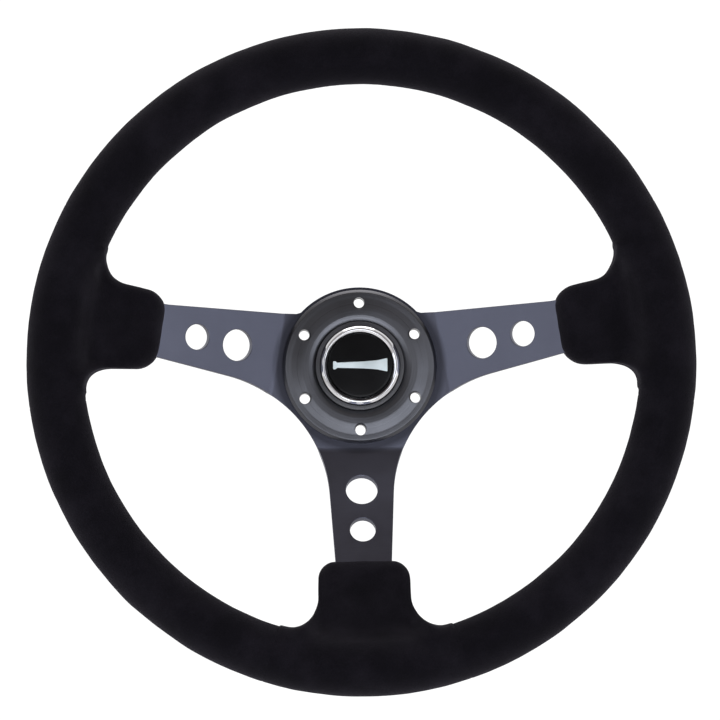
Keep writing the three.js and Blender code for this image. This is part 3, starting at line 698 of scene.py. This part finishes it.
def plate_outline():
    end = spoke_half_width(SPOKE_END)
    shoulder_u, shoulder_v, wrap_v, web_r = 43.8, 22.6, 14, 71

    def web(side, sign):
        edge = [on_spoke(SPOKES[side], u, sign * spoke_half_width(u)) for u in (MIDDLE_U, WRAP_START)]
        low = [on_spoke(SPOKES["bottom"], u, -sign * spoke_half_width(u)) for u in (MIDDLE_U, WRAP_START)]
        return (*crossing(*edge, *low), web_r)

    right, left, bottom = (SPOKES[n] for n in ("right", "left", "bottom"))
    shoulder = on_spoke(right, shoulder_u, shoulder_v)
    wrap = on_spoke(right, WRAP_START, wrap_v)
    slope = (wrap[1] - shoulder[1]) / (wrap[0] - shoulder[0])
    corner_x = DISC_R * math.cos(math.asin((shoulder[1] - slope * shoulder[0]) / DISC_R)) - 0.9
    corner_y = shoulder[1] + slope * (corner_x - shoulder[0])
    first = math.degrees(math.atan2(corner_y, corner_x))
    arc = [polar(DISC_R, first + 1.5 + (177 - 2 * first) * i / 60)[:2] for i in range(61)]
    return rounded(
        [
            (corner_x + 1.4, corner_y),
            *[(x, y, 0) for x, y in arc],
            (-corner_x - 1.4, corner_y),
            on_spoke(left, WRAP_START, -wrap_v),
            (*on_spoke(left, SPOKE_END, -end), 4),
            (*on_spoke(left, SPOKE_END, end), 4),
            web("left", 1),
            (*on_spoke(bottom, SPOKE_END, -end), 4),
            (*on_spoke(bottom, SPOKE_END, end), 4),
            web("right", -1),
            (*on_spoke(right, SPOKE_END, -end), 4),
            (*on_spoke(right, SPOKE_END, end), 4),
            on_spoke(right, WRAP_START, wrap_v),
        ],
        step=2.5,
    )


def round_loop(x, y, r, count, along=1.0, degrees=0.0):
    """A circle of points, shortened to a share of its size along a direction."""
    loop = []
    for i in range(count):
        t = 2 * math.pi * i / count
        across_x, across_y = on_spoke(degrees, r * along * math.cos(t), r * math.sin(t))
        loop.append((x + across_x, y + across_y))
    return loop


def spoke_plate():
    """One sheet, cut and drilled flat, whose three spokes are then bent up towards the driver."""
    loops = [plate_outline(), round_loop(0, 0, 20.4, 96)]
    loops += [round_loop(*polar(BOLT_CIRCLE_R, 30 + 60 * i)[:2], BOLT_HOLE_R, 32) for i in range(6)]
    for d in SPOKES.values():
        for u, r in ((68.4, 8.6), (90, 6.9)):
            loops.append(round_loop(*on_spoke(d, u, 0), r, 64, math.cos(SLOPE), d))
    mesh = sheet(loops, PLATE_T, 0.35)
    bends = 8
    folds = [BEND_START + BEND_R * math.sin(SLOPE * k / bends) for k in range(bends + 1)]
    with editing(mesh) as bm:
        for d in SPOKES.values():
            along = Vector(polar(1, d))
            for u in (BEND_START - 0.5, *folds, BEND_END + 0.5):
                near = [f for f in bm.faces if max(v.co.dot(along) for v in f.verts) > BEND_START - 1]
                slice_mesh(bm, along * u, along, near)
        bmesh.ops.triangulate(bm, faces=[f for f in bm.faces if len(f.verts) > 4])
    points, faces = as_part(mesh)
    lift = points[:, 2].copy()
    points[:, 2] += PLATE_MID
    for d in SPOKES.values():
        u, v = spoke_frame(d, points)
        bent = u > BEND_START
        angle = spoke_slope(u)
        height = spoke_height(u) + lift * np.cos(angle)
        x, y = on_spoke(d, u - lift * np.sin(angle), v)
        points[bent] = np.stack([x, y, height], 1)[bent]
    piece("dished_spokes", (points, faces), LOOKS["plate"], "spoke_plate", crease=10)


# ---- centre ring
def centre_ring():
    outer, back, front = extent("centre_ring")
    bore, seat, flat_r, low_r = 24.45, 25.5, 31.6, 37.6
    fall = (low_r - flat_r) * math.tan(math.radians(8.5))
    outline = rounded(
        [
            (seat, back, 0.1), (outer, back, 0.3), (outer, front - fall - 1.6, 0.5),
            (outer - 1.7, front - fall, 0.6), (low_r, front - fall, 5), (flat_r, front, 8),
            (28.2, front, 2), (bore, front - 0.75, 0.3), (bore, back + 1.9, 0.1),
            (seat, back + 1.9, 0.1),
        ]
    )
    hole = lathe(
        [(0, back - 1), (BOLT_HOLE_R, back - 1), (BOLT_HOLE_R, front - 0.9), (BOLT_HOLE_R + 1.6, front + 0.7),
         (0, front + 0.7)],
        40,
    )
    cutters = [moved(hole, (BOLT_CIRCLE_R, 0, 0), 30 + 60 * i) for i in range(6)]
    part = drilled(lathe(loop_back(outline), 240), cutters)
    piece("machined_ring", part, LOOKS["ring"], "centre_ring", crease=20)


# ---- horn button
DOME = 0.75  # how far the cap's middle stands above its edge


def horn_button():
    housing_r, housing_back, housing_front = extent("horn_housing")
    body, wall, mouth, bore, well = 20, 24.2, 21.9, 23.1, 18.2
    flange_front = extent("horn_bezel")[1] - 0.2
    cup = rounded(
        [
            (0, housing_back), (body, housing_back), (body, PLATE_FRONT + 0.2),
            (housing_r, PLATE_FRONT + 0.2), (housing_r, PLATE_FRONT + 1.9),
            (wall, PLATE_FRONT + 1.9), (wall, housing_front - 0.2), (mouth, housing_front),
            (mouth, flange_front + 0.3), (bore, flange_front + 0.3), (bore, PLATE_FRONT + 1.8),
            (well, PLATE_FRONT + 1.8), (well, housing_back + 2.5), (0, housing_back + 2.5),
        ],
        0.35,
        closed=False,
    )
    piece("horn_cup", lathe(cup, 160), LOOKS["housing"], "horn_housing")

    bezel_r, bezel_back, bezel_front = extent("horn_bezel")
    face = 17.4
    bezel = rounded(
        [
            (face + 0.3, bezel_back, 0.1), (bezel_r, bezel_back, 0.2),
            (bezel_r, bezel_front - 1.5, 0.8), (bezel_r - 1.3, bezel_front, 0.8),
            (face + 2.0, bezel_front, 0.4), (face + 0.3, bezel_front - 1.3, 0.2),
        ],
        step=9,
    )
    piece("horn_chrome_ring", lathe(loop_back(bezel), 200), LOOKS["chrome"], "horn_bezel", crease=50)

    cap_r, cap_back, cap_front = extent("horn_cap")
    dome = [(face * s, cap_front - DOME * s * s) for s in np.linspace(1, 0, 14)]
    cap = rounded(
        [
            (0, cap_back), (7, cap_back, 0.4), (7, flange_front - 2.2, 0.2),
            (cap_r, flange_front - 2.2, 0.3), (cap_r, flange_front, 0.3), (face, flange_front, 0.1),
            (face, cap_front - DOME, 0.45), *[(r, z, 0) for r, z in dome[1:]],
        ],
        closed=False,
    )
    piece("horn_button_cap", lathe(cap, 160), LOOKS["cap"], "horn_cap", crease=40)

    mesh = sheet([horn_mark()], 0.5, 0.12)
    with editing(mesh) as bm:
        for x in range(-14, 15):
            slice_mesh(bm, (x, 0, 0), (1, 0, 0))
    points, faces = as_part(mesh)
    share = (points[:, 0] ** 2 + points[:, 1] ** 2) / face**2
    points[:, 2] += cap_front - DOME * share + 0.1
    piece("horn_pictogram", (points, faces), LOOKS["print"], "horn_symbol", crease=40)


def horn_mark():
    """A plain long bugle in outline: mouthpiece, tube and bell."""
    mouthpiece = [(-14.8, 2.2, 0.5), (-13.4, 2.2, 0.5), (-12.6, 1.4, 0.6)]
    half = [*mouthpiece, (2, 1.9, 20), (9.4, 2.5, 9), (14.8, 3.7, 0.4)]
    return rounded(half + [(x, -y, r) for x, y, r in reversed(half)], step=8)


# ---- quick-release coupling
def behind(h):
    """Height of a plane h millimetres behind the spoke plate."""
    return PLATE_BACK - h


TEETH = 16
BALL_H = 47


def plug(radius, back, front, segments, shape=None):
    """A solid cylinder, for cutting a hole."""
    return lathe([(0, back), (radius, back), (radius, front), (0, front)], segments, shape)


def spline_radius(angles, root, tip, root_half, tip_half):
    """Radius of a splined section at each angle; the halves are a tooth's half angles in degrees."""
    pitch = 360 / TEETH
    off = np.abs((np.degrees(angles) + pitch / 2) % pitch - pitch / 2)
    return root + (tip - root) * np.clip((root_half - off) / (root_half - tip_half), 0, 1)


def quick_release_hub():
    flange_r, hub_back, _ = extent("quick_release_hub")
    cup_r, barrel, cavity, clip_groove = 23.4, 15.75, 20.5, 14.5
    back = PLATE_BACK - hub_back
    outline = rounded(
        [
            (0, hub_back), (barrel, hub_back, 0.9), (barrel, behind(59.2), 0.1),
            (clip_groove, behind(59.2), 0.1), (clip_groove, behind(57.8), 0.1),
            (barrel, behind(57.8), 0.1),
            (barrel, behind(23), 1.2), (cup_r, behind(23), 1.6), (cup_r, behind(5.5), 1.0),
            (flange_r, behind(5.5), 0.8), (flange_r, behind(0.2), 0.5), (cavity, behind(0.2), 0.4),
            (cavity, behind(20), 0.8), (0, behind(20)),
        ],
        closed=False,
    )
    segments = 12 * TEETH
    bore = plug(
        12, behind(back + 1), behind(19), segments, lambda r, z, a: spline_radius(a, 10.1, 11.2, 7.0, 5.0)
    )
    ball_hole = plug(3.3, 8, 20, 32)
    side = np.asarray(ball_hole[0])
    ball_hole = (np.stack([side[:, 2], side[:, 1], side[:, 0] + behind(BALL_H)], 1), ball_hole[1])
    screw_hole = plug(2.25, behind(7), behind(-1), 24)
    part = drilled(lathe(outline, segments), [bore])
    part = drilled(part, [moved(ball_hole, turn=45 + 90 * i) for i in range(4)])
    part = drilled(part, [moved(screw_hole, (SCREW_CIRCLE_R, 0, 0), 60 * i) for i in range(6)])
    piece("coupling_hub", part, LOOKS["hub"], "quick_release_hub", crease=25)


def hub_screws():
    """M4 socket-head screws with knurled heads."""
    head_back, head_front, shank, head = behind(9.7), behind(5.7), 2.0, 3.5
    tip = extent("hub_screw_1")[2]
    outline = rounded(
        [(0, head_back), (head - 0.1, head_back, 0.35), (head, head_back + 0.4, 0.1), (head, head_front, 0.1),
         (shank, head_front, 0.15), (shank, tip - 0.5, 0.1), (shank - 0.5, tip, 0.1), (0, tip)],
        closed=False,
    )

    def knurl(r, z, angles):
        ridge = 0.07 * np.abs(np.sin(angles * 24)) if r > head - 0.05 else 0.0
        return np.full(len(angles), float(r)) - ridge

    socket = plug(1.73, head_back - 1, head_back + 2, 6)
    part = drilled(lathe(outline, 144, knurl), [socket])
    for i in range(6):
        at = moved(part, (SCREW_CIRCLE_R, 0, 0), 60 * i)
        piece(f"socket_screw_{i + 1}", at, LOOKS["black_steel"], f"hub_screw_{i + 1}", crease=25)


def release_collar():
    """The sliding sleeve, with fluted finger grips on its front lip."""
    lip, back, front = extent("release_collar")
    bore, room, spring_room, waist, tail = 15.95, 18.3, 20.8, 21.8, 23.0
    outline = rounded(
        [
            (spring_room, front, 0.3), (spring_room, behind(40), 0.4), (bore, behind(40), 0.3),
            (bore, behind(BALL_H + 0.2), 0.2), (room, behind(BALL_H + 0.4), 0.4), (room, back, 0.3),
            (tail, back, 0.8), (tail, back + 3, 0.8), (waist, back + 4.4, 0.6),
            (waist, front - 6.6, 1.0), (lip, front - 4.0, 0.9), (lip, front, 0.9),
        ]
    )
    flutes = 30

    def fluted(r, z, angles):
        depth = np.clip((r - waist) / (lip - waist), 0, 1) if z > front - 7 else 0.0
        return r - 0.9 * depth * np.clip(np.cos(angles * flutes), 0, 1) ** 0.7

    part = lathe(loop_back(outline), flutes * 12, fluted)
    piece("sliding_collar", part, LOOKS["collar"], "release_collar", crease=30)


def column_spigot():
    """Splined nose with the lock balls' groove, its collar stop and the column's end."""
    base_r, stop_r, tooth_r, groove_r, nose = 12.5, 15.4, 11.0, 9.35, extent("column_spigot")[2]
    stop_back, stop_front = behind(64.5), behind(61)
    outline = rounded(
        [
            (0, 0), (base_r - 1.5, 0, 0.1), (base_r, 1.5, 0.4), (base_r, stop_back, 0.8),
            (stop_r, stop_back, 0.4), (stop_r, stop_front, 0.4),
            (stop_r - 0.8, behind(60.4), 0.2), (tooth_r, behind(60.4), 0.5),
            (tooth_r, behind(BALL_H + 3.4), 0.1), (groove_r, behind(BALL_H + 1.6), 0.5),
            (groove_r, behind(BALL_H - 1.6), 0.5), (tooth_r, behind(BALL_H - 3.4), 0.1),
            (tooth_r, behind(PLATE_BACK - nose + 1.4), 0.2), (9.6, nose, 0.3), (0, nose),
        ],
        closed=False,
    )

    def splined(r, z, angles):
        if z < behind(60.4) + 0.3 or r < 1:
            return np.full(len(angles), float(r))
        return np.minimum(r, spline_radius(angles, 9.9, tooth_r, 5.9, 3.9))

    piece("splined_spigot", lathe(outline, 16 * TEETH, splined), LOOKS["steel"], "column_spigot", crease=25)


def coil_path(radius, wire, back, front, turns):
    """A spring's centre line, whose end turns lie almost flat."""
    dead = 0.9
    t = np.linspace(0, turns, int(turns * 40))
    flat = dead * 2 * wire
    rise = (front - back - 2 * wire - 2 * flat) / (turns - 2 * dead)
    heights = [0, flat, flat + rise * (turns - 2 * dead), front - back - 2 * wire]
    z = np.interp(t, [0, dead, turns - dead, turns], heights) + back + wire
    z = np.convolve(np.pad(z, 6, mode="edge"), np.ones(13) / 13, "valid")
    a = 2 * math.pi * t
    return np.stack([radius * np.cos(a), radius * np.sin(a), z], 1)


def springs():
    """The collar's and the horn's return springs, coiled from round wire."""
    for name, node, joint, radius, wire, turns in (
        ("collar_return_spring", "collar_spring", "collar_slide", 18.4, 0.8, 5),
        ("horn_return_spring", "horn_spring", "horn_press", 9.3, 0.65, 6),
    ):
        _, back, front = extent(node)
        coil = tube(coil_path(radius, wire, back, front, turns), wire, 12)
        made = piece(name, coil, LOOKS["spring"], node, crease=0)
        travel = max(next(j for j in frame["joints"] if j["name"] == joint)["range_m"]) / MM
        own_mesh(made)


def small_coupling_parts():
    for i in range(4):
        low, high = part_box(f"lock_ball_{i + 1}")
        middle = (low + high) / 2 / MM
        r = 3.175
        arc = [(r * math.sin(a), -r * math.cos(a)) for a in np.linspace(0, math.pi, 25)]
        arc[0], arc[-1] = (0, -r), (0, r)
        at = moved(lathe(arc, 48), (middle.x, middle.z, -middle.y))
        piece(f"locking_ball_{i + 1}", at, LOOKS["ball"], f"lock_ball_{i + 1}", crease=0)
    r, back, front = extent("retaining_washer")
    outline = rounded([(15.95, back), (r, back), (r, front), (15.95, front)], 0.25)
    piece("stop_washer", lathe(loop_back(outline), 120), LOOKS["steel"], "retaining_washer")
    _, back, front = extent("circlip")
    opening, inner, outer, ear = 24, 14.7, 17.2, 19.6
    edge = [polar(outer, a)[:2] for a in np.linspace(opening, 360 - opening, 80)]
    edge += [polar(ear, -opening * s)[:2] for s in (1.1, 0.55)]
    edge += [polar(inner, a)[:2] for a in np.linspace(360 - opening * 0.6, opening * 0.6, 72)]
    edge += [polar(ear, opening * s)[:2] for s in (0.55, 1.1)]
    eyes = [round_loop(*polar(17.3, s * opening * 0.8)[:2], 0.75, 20) for s in (-1, 1)]
    points, faces = as_part(sheet([edge, *eyes], front - back, 0.12))
    points[:, 2] += (front + back) / 2
    piece("snap_ring", (points, faces), LOOKS["spring"], "circlip")


# ---- rim and its suede
WRAP_R = GRIP_R - 0.06  # leaves room for the hide's lumps
ROLL = 0.15  # how far a panel's end is turned in at a joint
JOINT_ROWS = (1.05, 0.6, 0.25)  # rows of points near a joint, as distances from it
SEAM_PITCH = 4.2
SEAM_HALF = 1.6
THREAD_R = 0.33
SEAM_TURN = math.radians(180 + 30)  # the seam runs along the rim's inner side, a little to the back
SEAM_R = RIM_R + GRIP_R * math.cos(SEAM_TURN)


def grip_radius(seam_distance, along):
    """The wrapped grip's radius: pulled in at the sewn seam, puffed up between its stitches."""
    groove = 0.75 * np.exp(-((seam_distance / 0.7) ** 2))
    pucker = 0.16 * np.exp(-((seam_distance / 3.2) ** 2)) * np.cos(2 * math.pi * along / SEAM_PITCH)
    return WRAP_R - groove + pucker


def rolled_in(edge):
    """How far the suede is turned in at a distance from a panel's end."""
    return ROLL * np.clip(1 - edge / JOINT_ROWS[0], 0, 1) ** 2


def hide_lumps(points):
    """The hide's slight unevenness, the same on both sides of a joint."""
    return 0.10 * wobble(points, 26, 3) + 0.035 * wobble(points, 7, 4)


def rim_arc(name, start, end, node):
    """A length of wrapped rim, closed at both ends, with its cross seams rolled in."""
    sides = 112
    turn = np.arange(sides) / sides * 2 * math.pi
    turn = SEAM_TURN + math.pi + turn + 0.55 * np.sin(turn)  # rows crowd together at the seam
    length = math.radians(end - start) * RIM_R
    inner = np.arange(1.6, length - 1.5, 1.55)
    rows = np.array([*JOINT_ROWS, 0.0])
    places = np.concatenate([rows[::-1], inner, length - rows])
    points = []
    for s in places:
        a = math.radians(start) + s / RIM_R
        seam = np.abs((turn - SEAM_TURN + math.pi) % (2 * math.pi) - math.pi) * GRIP_R
        along = s * SEAM_R / RIM_R
        r = grip_radius(seam, along)
        r = r - rolled_in(min(s, length - s))
        out = RIM_R + r * np.cos(turn)
        points.append(np.stack([out * math.cos(a), out * math.sin(a), RIM_Z + r * np.sin(turn)], 1))
    points = np.concatenate(points)
    middle = points.reshape(len(places), sides, 3).mean(1)[:, None].repeat(sides, 1).reshape(-1, 3)
    normal = points - middle
    normal /= np.linalg.norm(normal, axis=1)[:, None]
    points += normal * hide_lumps(points)[:, None]
    faces = ring_faces(len(places), sides)
    faces += [list(range(sides)), list(range(len(points) - sides, len(points)))]
    made = piece(f"suede_rim_{name}", (points, faces), LOOKS["suede"], node, crease=60)


def zigzag(place, length):
    """Cross stitches: place(s, across, lift) gives the points of one thread that dips at each hole."""
    path = []
    for k in range(int(length / (SEAM_PITCH / 2))):
        side = 1 if k % 2 else -1
        for t in np.linspace(0, 1, 6, endpoint=False):
            lift = -0.7 + 1.1 * math.sin(math.pi * t) ** 0.6
            path.append(place((k + t) * SEAM_PITCH / 2, side * SEAM_HALF * (1 - 2 * t), lift))
    return tube(path, THREAD_R, 8)


def rim_stitches(name, start, end, node):
    def place(s, across, lift):
        a = math.radians(start) + s / SEAM_R
        turn = SEAM_TURN + across / GRIP_R
        r = GRIP_R - 0.45 + lift
        out = RIM_R + r * math.cos(turn)
        return out * math.cos(a), out * math.sin(a), RIM_Z + r * math.sin(turn)

    length = math.radians(end - start) * SEAM_R
    piece(f"rim_stitches_{name}", zigzag(place, length), LOOKS["thread"], node, crease=0)


def boot_edge(u, v, corner, slope, hollow):
    """One edge of a boot's outline: its corner, a straight run, and a hollow curve into the rim."""
    inner = RIM_R - GRIP_R
    along = np.array([1.0, slope]) / math.hypot(1, slope)
    across = np.array([-along[1], along[0]])
    base = np.array([u, v]) + across * hollow
    reach = -(base @ along) + math.sqrt((base @ along) ** 2 - base @ base + (inner - hollow) ** 2)
    centre = base + along * reach
    first, last = math.atan2(-across[1], -across[0]), math.atan2(centre[1], centre[0])
    arc = [centre + hollow * np.array([math.cos(a), math.sin(a)]) for a in np.linspace(first, last, 14)]
    return [(u, v, corner), *[(x, y, 0) for x, y in arc], (*(arc[-1] * 1.09), 0)]


def boot_loop(plus, minus):
    return rounded([*plus, *[(u, -v, r) for u, v, r in reversed(minus)]], step=9)


TIGHT_EDGE = boot_edge(WRAP_START + 1.0, 19.7, 13, 0.0, 12)
WIDE_EDGE = boot_edge(WRAP_START - 0.1, 21.0, 13, 0.205, 12)
EVEN_EDGE = boot_edge(WRAP_START - 1.5, 24.2, 15, 0.01, 15)
BOOT_LOOPS = {
    "right": boot_loop(TIGHT_EDGE, WIDE_EDGE),
    "left": boot_loop(WIDE_EDGE, TIGHT_EDGE),
    "bottom": boot_loop(EVEN_EDGE, EVEN_EDGE),
}


def outline_distance(loop, u, v):
    """Signed distance in the plane from points to a closed loop, negative inside."""
    p = np.stack([u, v], 1)
    a = np.array(loop, float)
    b = np.roll(a, -1, axis=0)
    best = np.full(len(p), 1e9)
    inside = np.zeros(len(p), bool)
    for (ax, ay), (bx, by) in zip(a, b):
        e = np.array([bx - ax, by - ay])
        w = p - (ax, ay)
        t = np.clip((w @ e) / max(e @ e, 1e-12), 0, 1)
        best = np.minimum(best, np.linalg.norm(w - t[:, None] * e, axis=1))
        if ay != by:
            crosses = ((ay > p[:, 1]) != (by > p[:, 1])) & (
                p[:, 0] < (bx - ax) * (p[:, 1] - ay) / (by - ay) + ax
            )
            inside ^= crosses
    return np.where(inside, -best, best)


def boot_height(u, v):
    """Height of a boot's middle: on the spoke, and lifted to the rim's middle where its sides flare."""
    flare_start, flare_end = 22, 34
    t = np.clip((np.abs(v) - flare_start) / (flare_end - flare_start), 0, 1)
    return spoke_height(u) + t * t * (3 - 2 * t) * (RIM_Z - spoke_height(u))


def skin_distance(points, name):
    """Signed distance to the rim with one spoke's boot blended into it."""
    x, y, z = points.T
    rim = np.hypot(np.hypot(x, y) - RIM_R, z - RIM_Z) - WRAP_R
    u, v = spoke_frame(SPOKES[name], points)
    plan = outline_distance(BOOT_LOOPS[name], u, v)
    thick = 6.3 + np.clip(u - WRAP_START, 0, 40) * 0.115
    slab = np.abs(z - boot_height(u, v)) * math.cos(SLOPE) - thick
    soft = 5.0
    boot = np.hypot(np.maximum(plan + soft, 0), np.maximum(slab + soft, 0))
    boot += np.minimum(np.maximum(plan + soft, slab + soft), 0) - soft
    k = np.interp(plan, (-9, -1), (8.0, 2.5))
    h = np.clip(0.5 + 0.5 * (boot - rim) / k, 0, 1)
    return boot * (1 - h) + rim * h - k * h * (1 - h)


def settle(points, name, rounds=5):
    """Moves points onto the skin; returns them with the skin's outward direction."""
    step = 0.05
    normal = np.zeros_like(points)
    for _ in range(rounds):
        here = skin_distance(points, name)
        for axis in range(3):
            offset = np.zeros(3)
            offset[axis] = step
            normal[:, axis] = (skin_distance(points + offset, name) - here) / step
        size = np.linalg.norm(normal, axis=1)[:, None]
        normal /= np.maximum(size, 1e-6)
        points = points - normal * (here / np.maximum(size[:, 0], 0.5))[:, None]
    return points, normal


def skin_mesh(name, cell, inset=0.0, sector=None):
    """The skin round one spoke's end as quads of about cell size; a sector in degrees closes its ends."""
    degrees = SPOKES[name]
    spans = ((100, RIM_R + GRIP_R + 3), (-61, 61), (92, RIM_FRONT + 3))
    axes = [np.arange(low, high, cell) for low, high in spans]
    shape = [len(a) for a in axes]
    u, v, z = (g.ravel() for g in np.meshgrid(*axes, indexing="ij"))
    x, y = on_spoke(degrees, u, v)
    value = skin_distance(np.stack([x, y, z], 1), name) + inset
    if sector:
        value = np.maximum(value, (np.abs(np.arctan2(v, u)) - math.radians(sector)) * RIM_R)
    inside = (value < 0).reshape(shape)
    count = sum(
        inside[i:shape[0] - 1 + i, j:shape[1] - 1 + j, k:shape[2] - 1 + k].astype(int)
        for i in (0, 1) for j in (0, 1) for k in (0, 1)
    )
    crossed = (count > 0) & (count < 8)
    index = np.full(crossed.shape, -1)
    index[crossed] = np.arange(crossed.sum())
    i, j, k = np.nonzero(crossed)
    u, v, z = (axes[n][c] + cell / 2 for n, c in enumerate((i, j, k)))
    x, y = on_spoke(degrees, u, v)
    faces = []
    for axis in range(3):
        one, two = (axis + 1) % 3, (axis + 2) % 3
        ahead = np.take(inside, range(1, shape[axis]), axis)
        behind_it = np.take(inside, range(shape[axis] - 1), axis)
        for here, flip in ((behind_it & ~ahead, False), (~behind_it & ahead, True)):
            at = np.array(np.nonzero(here))
            for n in (one, two):
                at = at[:, (at[n] > 0) & (at[n] < shape[n] - 1)]
            corners = []
            for a, b in ((1, 1), (0, 1), (0, 0), (1, 0)):
                near = at.copy()
                near[one] -= a
                near[two] -= b
                corners.append(index[tuple(near)])
            quads = np.stack(corners, 1)
            faces += (quads[:, ::-1] if flip else quads).tolist()
    return np.stack([x, y, z], 1), faces


def boot(name, degrees, node):
    """The suede over one spoke's end, running in one curve into the rim."""
    mesh = as_mesh(skin_mesh(name, 1.15))
    with editing(mesh) as bm:
        for _ in range(3):
            points, _ = settle(np.array([v.co for v in bm.verts], float), name, 2)
            for v, p in zip(bm.verts, points):
                v.co = p
            bmesh.ops.smooth_vert(
                bm, verts=bm.verts, factor=0.5, use_axis_x=True, use_axis_y=True, use_axis_z=True
            )
        for side in (-1, 1):
            for inset in (*JOINT_ROWS, 0.0):
                a = math.radians(degrees + side * (BOOT_ANGLE - math.degrees(inset / RIM_R)))
                across = Vector((-math.sin(a), math.cos(a), 0)) * side
                slice_mesh(bm, (0, 0, 0), across, dist=1e-3, clear=inset == 0)
        bmesh.ops.holes_fill(bm, edges=[e for e in bm.edges if e.is_boundary], sides=0)
    points, faces = as_part(mesh)
    points, normal = settle(points, name, 4)
    off = np.arctan2(points[:, 1], points[:, 0]) - math.radians(degrees)
    off = np.abs((off + math.pi) % (2 * math.pi) - math.pi)
    edge = np.clip((math.radians(BOOT_ANGLE) - off) * RIM_R, 0, None)
    points = points + normal * (hide_lumps(points) - rolled_in(edge))[:, None]
    made = piece(f"suede_boot_{name}", (points, faces), LOOKS["suede"], node, crease=60)
    boot_stitches(name, degrees)


def boot_stitches(name, degrees):
    """The boot's own seam, sewn up along the back of the spoke."""
    def place(s, across, lift):
        u = WRAP_START + 2.5 + s * math.cos(SLOPE)
        x, y = on_spoke(degrees, u, across)
        low, high = float(spoke_height(u)) - 30, float(spoke_height(u))
        for _ in range(24):
            z = (low + high) / 2
            if skin_distance(np.array([[x, y, z]]), name)[0] > 0:
                low = z
            else:
                high = z
        slope = math.sin(SLOPE)
        x2, y2 = on_spoke(degrees, u + (lift - 0.15) * slope, across)
        return x2, y2, low - (lift - 0.15) * math.cos(SLOPE)

    piece(f"boot_stitches_{name}", zigzag(place, 34), LOOKS["thread"], None, crease=0, body="wheel")


def foam_core():
    """The moulded foam: a ring inside the rim's wrap and a tongue inside each boot."""
    thin = 1.6
    places = np.radians(np.linspace(0, 360, 121)[:-1])
    section = np.radians(np.linspace(0, 360, 25)[:-1])
    points = []
    for a in places:
        out = RIM_R + (GRIP_R - thin) * np.cos(section)
        points += list(zip(out * math.cos(a), out * math.sin(a), RIM_Z + (GRIP_R - thin) * np.sin(section)))
    parts = [(points, ring_faces(len(places), len(section), closed=True))]
    parts += [skin_mesh(name, 2.6, 2.6, BOOT_ANGLE + 1) for name in SPOKES]
    piece("foam_core", joined(parts), LOOKS["foam"], "rim_foam", crease=0)


def rim():
    foam_core()
    arcs = {
        "top": (SPOKES["right"] + BOOT_ANGLE, SPOKES["left"] - BOOT_ANGLE),
        "left": (SPOKES["left"] + BOOT_ANGLE, SPOKES["bottom"] - BOOT_ANGLE),
        "right": (SPOKES["bottom"] + BOOT_ANGLE, SPOKES["right"] + 360 - BOOT_ANGLE),
    }
    for name, (start, end) in arcs.items():
        rim_arc(name, start, end, f"rim_cover_{name}")
        rim_stitches(name, start + 0.6, end - 0.6, f"seam_thread_{name}")
    for name, degrees in SPOKES.items():
        boot(name, degrees, f"spoke_cover_{name}")


# ---- what stays as CAD, inside
def paint_inside():
    groups = {
        "aluminium": ["rim_hoop", *[f"rim_bracket_{s}" for s in SPOKES]],
        "black_steel": [f"bracket_screw_{s}_{i}" for s in SPOKES for i in (1, 2)],
        "brass": ["horn_contact_moving", "horn_contact_fixed", "horn_terminal_1", "horn_terminal_2"],
        "laminate": ["contact_insulator"],
    }
    for look, nodes in groups.items():
        for node in nodes:
            dress(NODES[node].data, LOOKS[look][0], 40)


spoke_plate()
centre_ring()
horn_button()
quick_release_hub()
hub_screws()
release_collar()
column_spigot()
springs()
small_coupling_parts()
rim()
paint_inside()
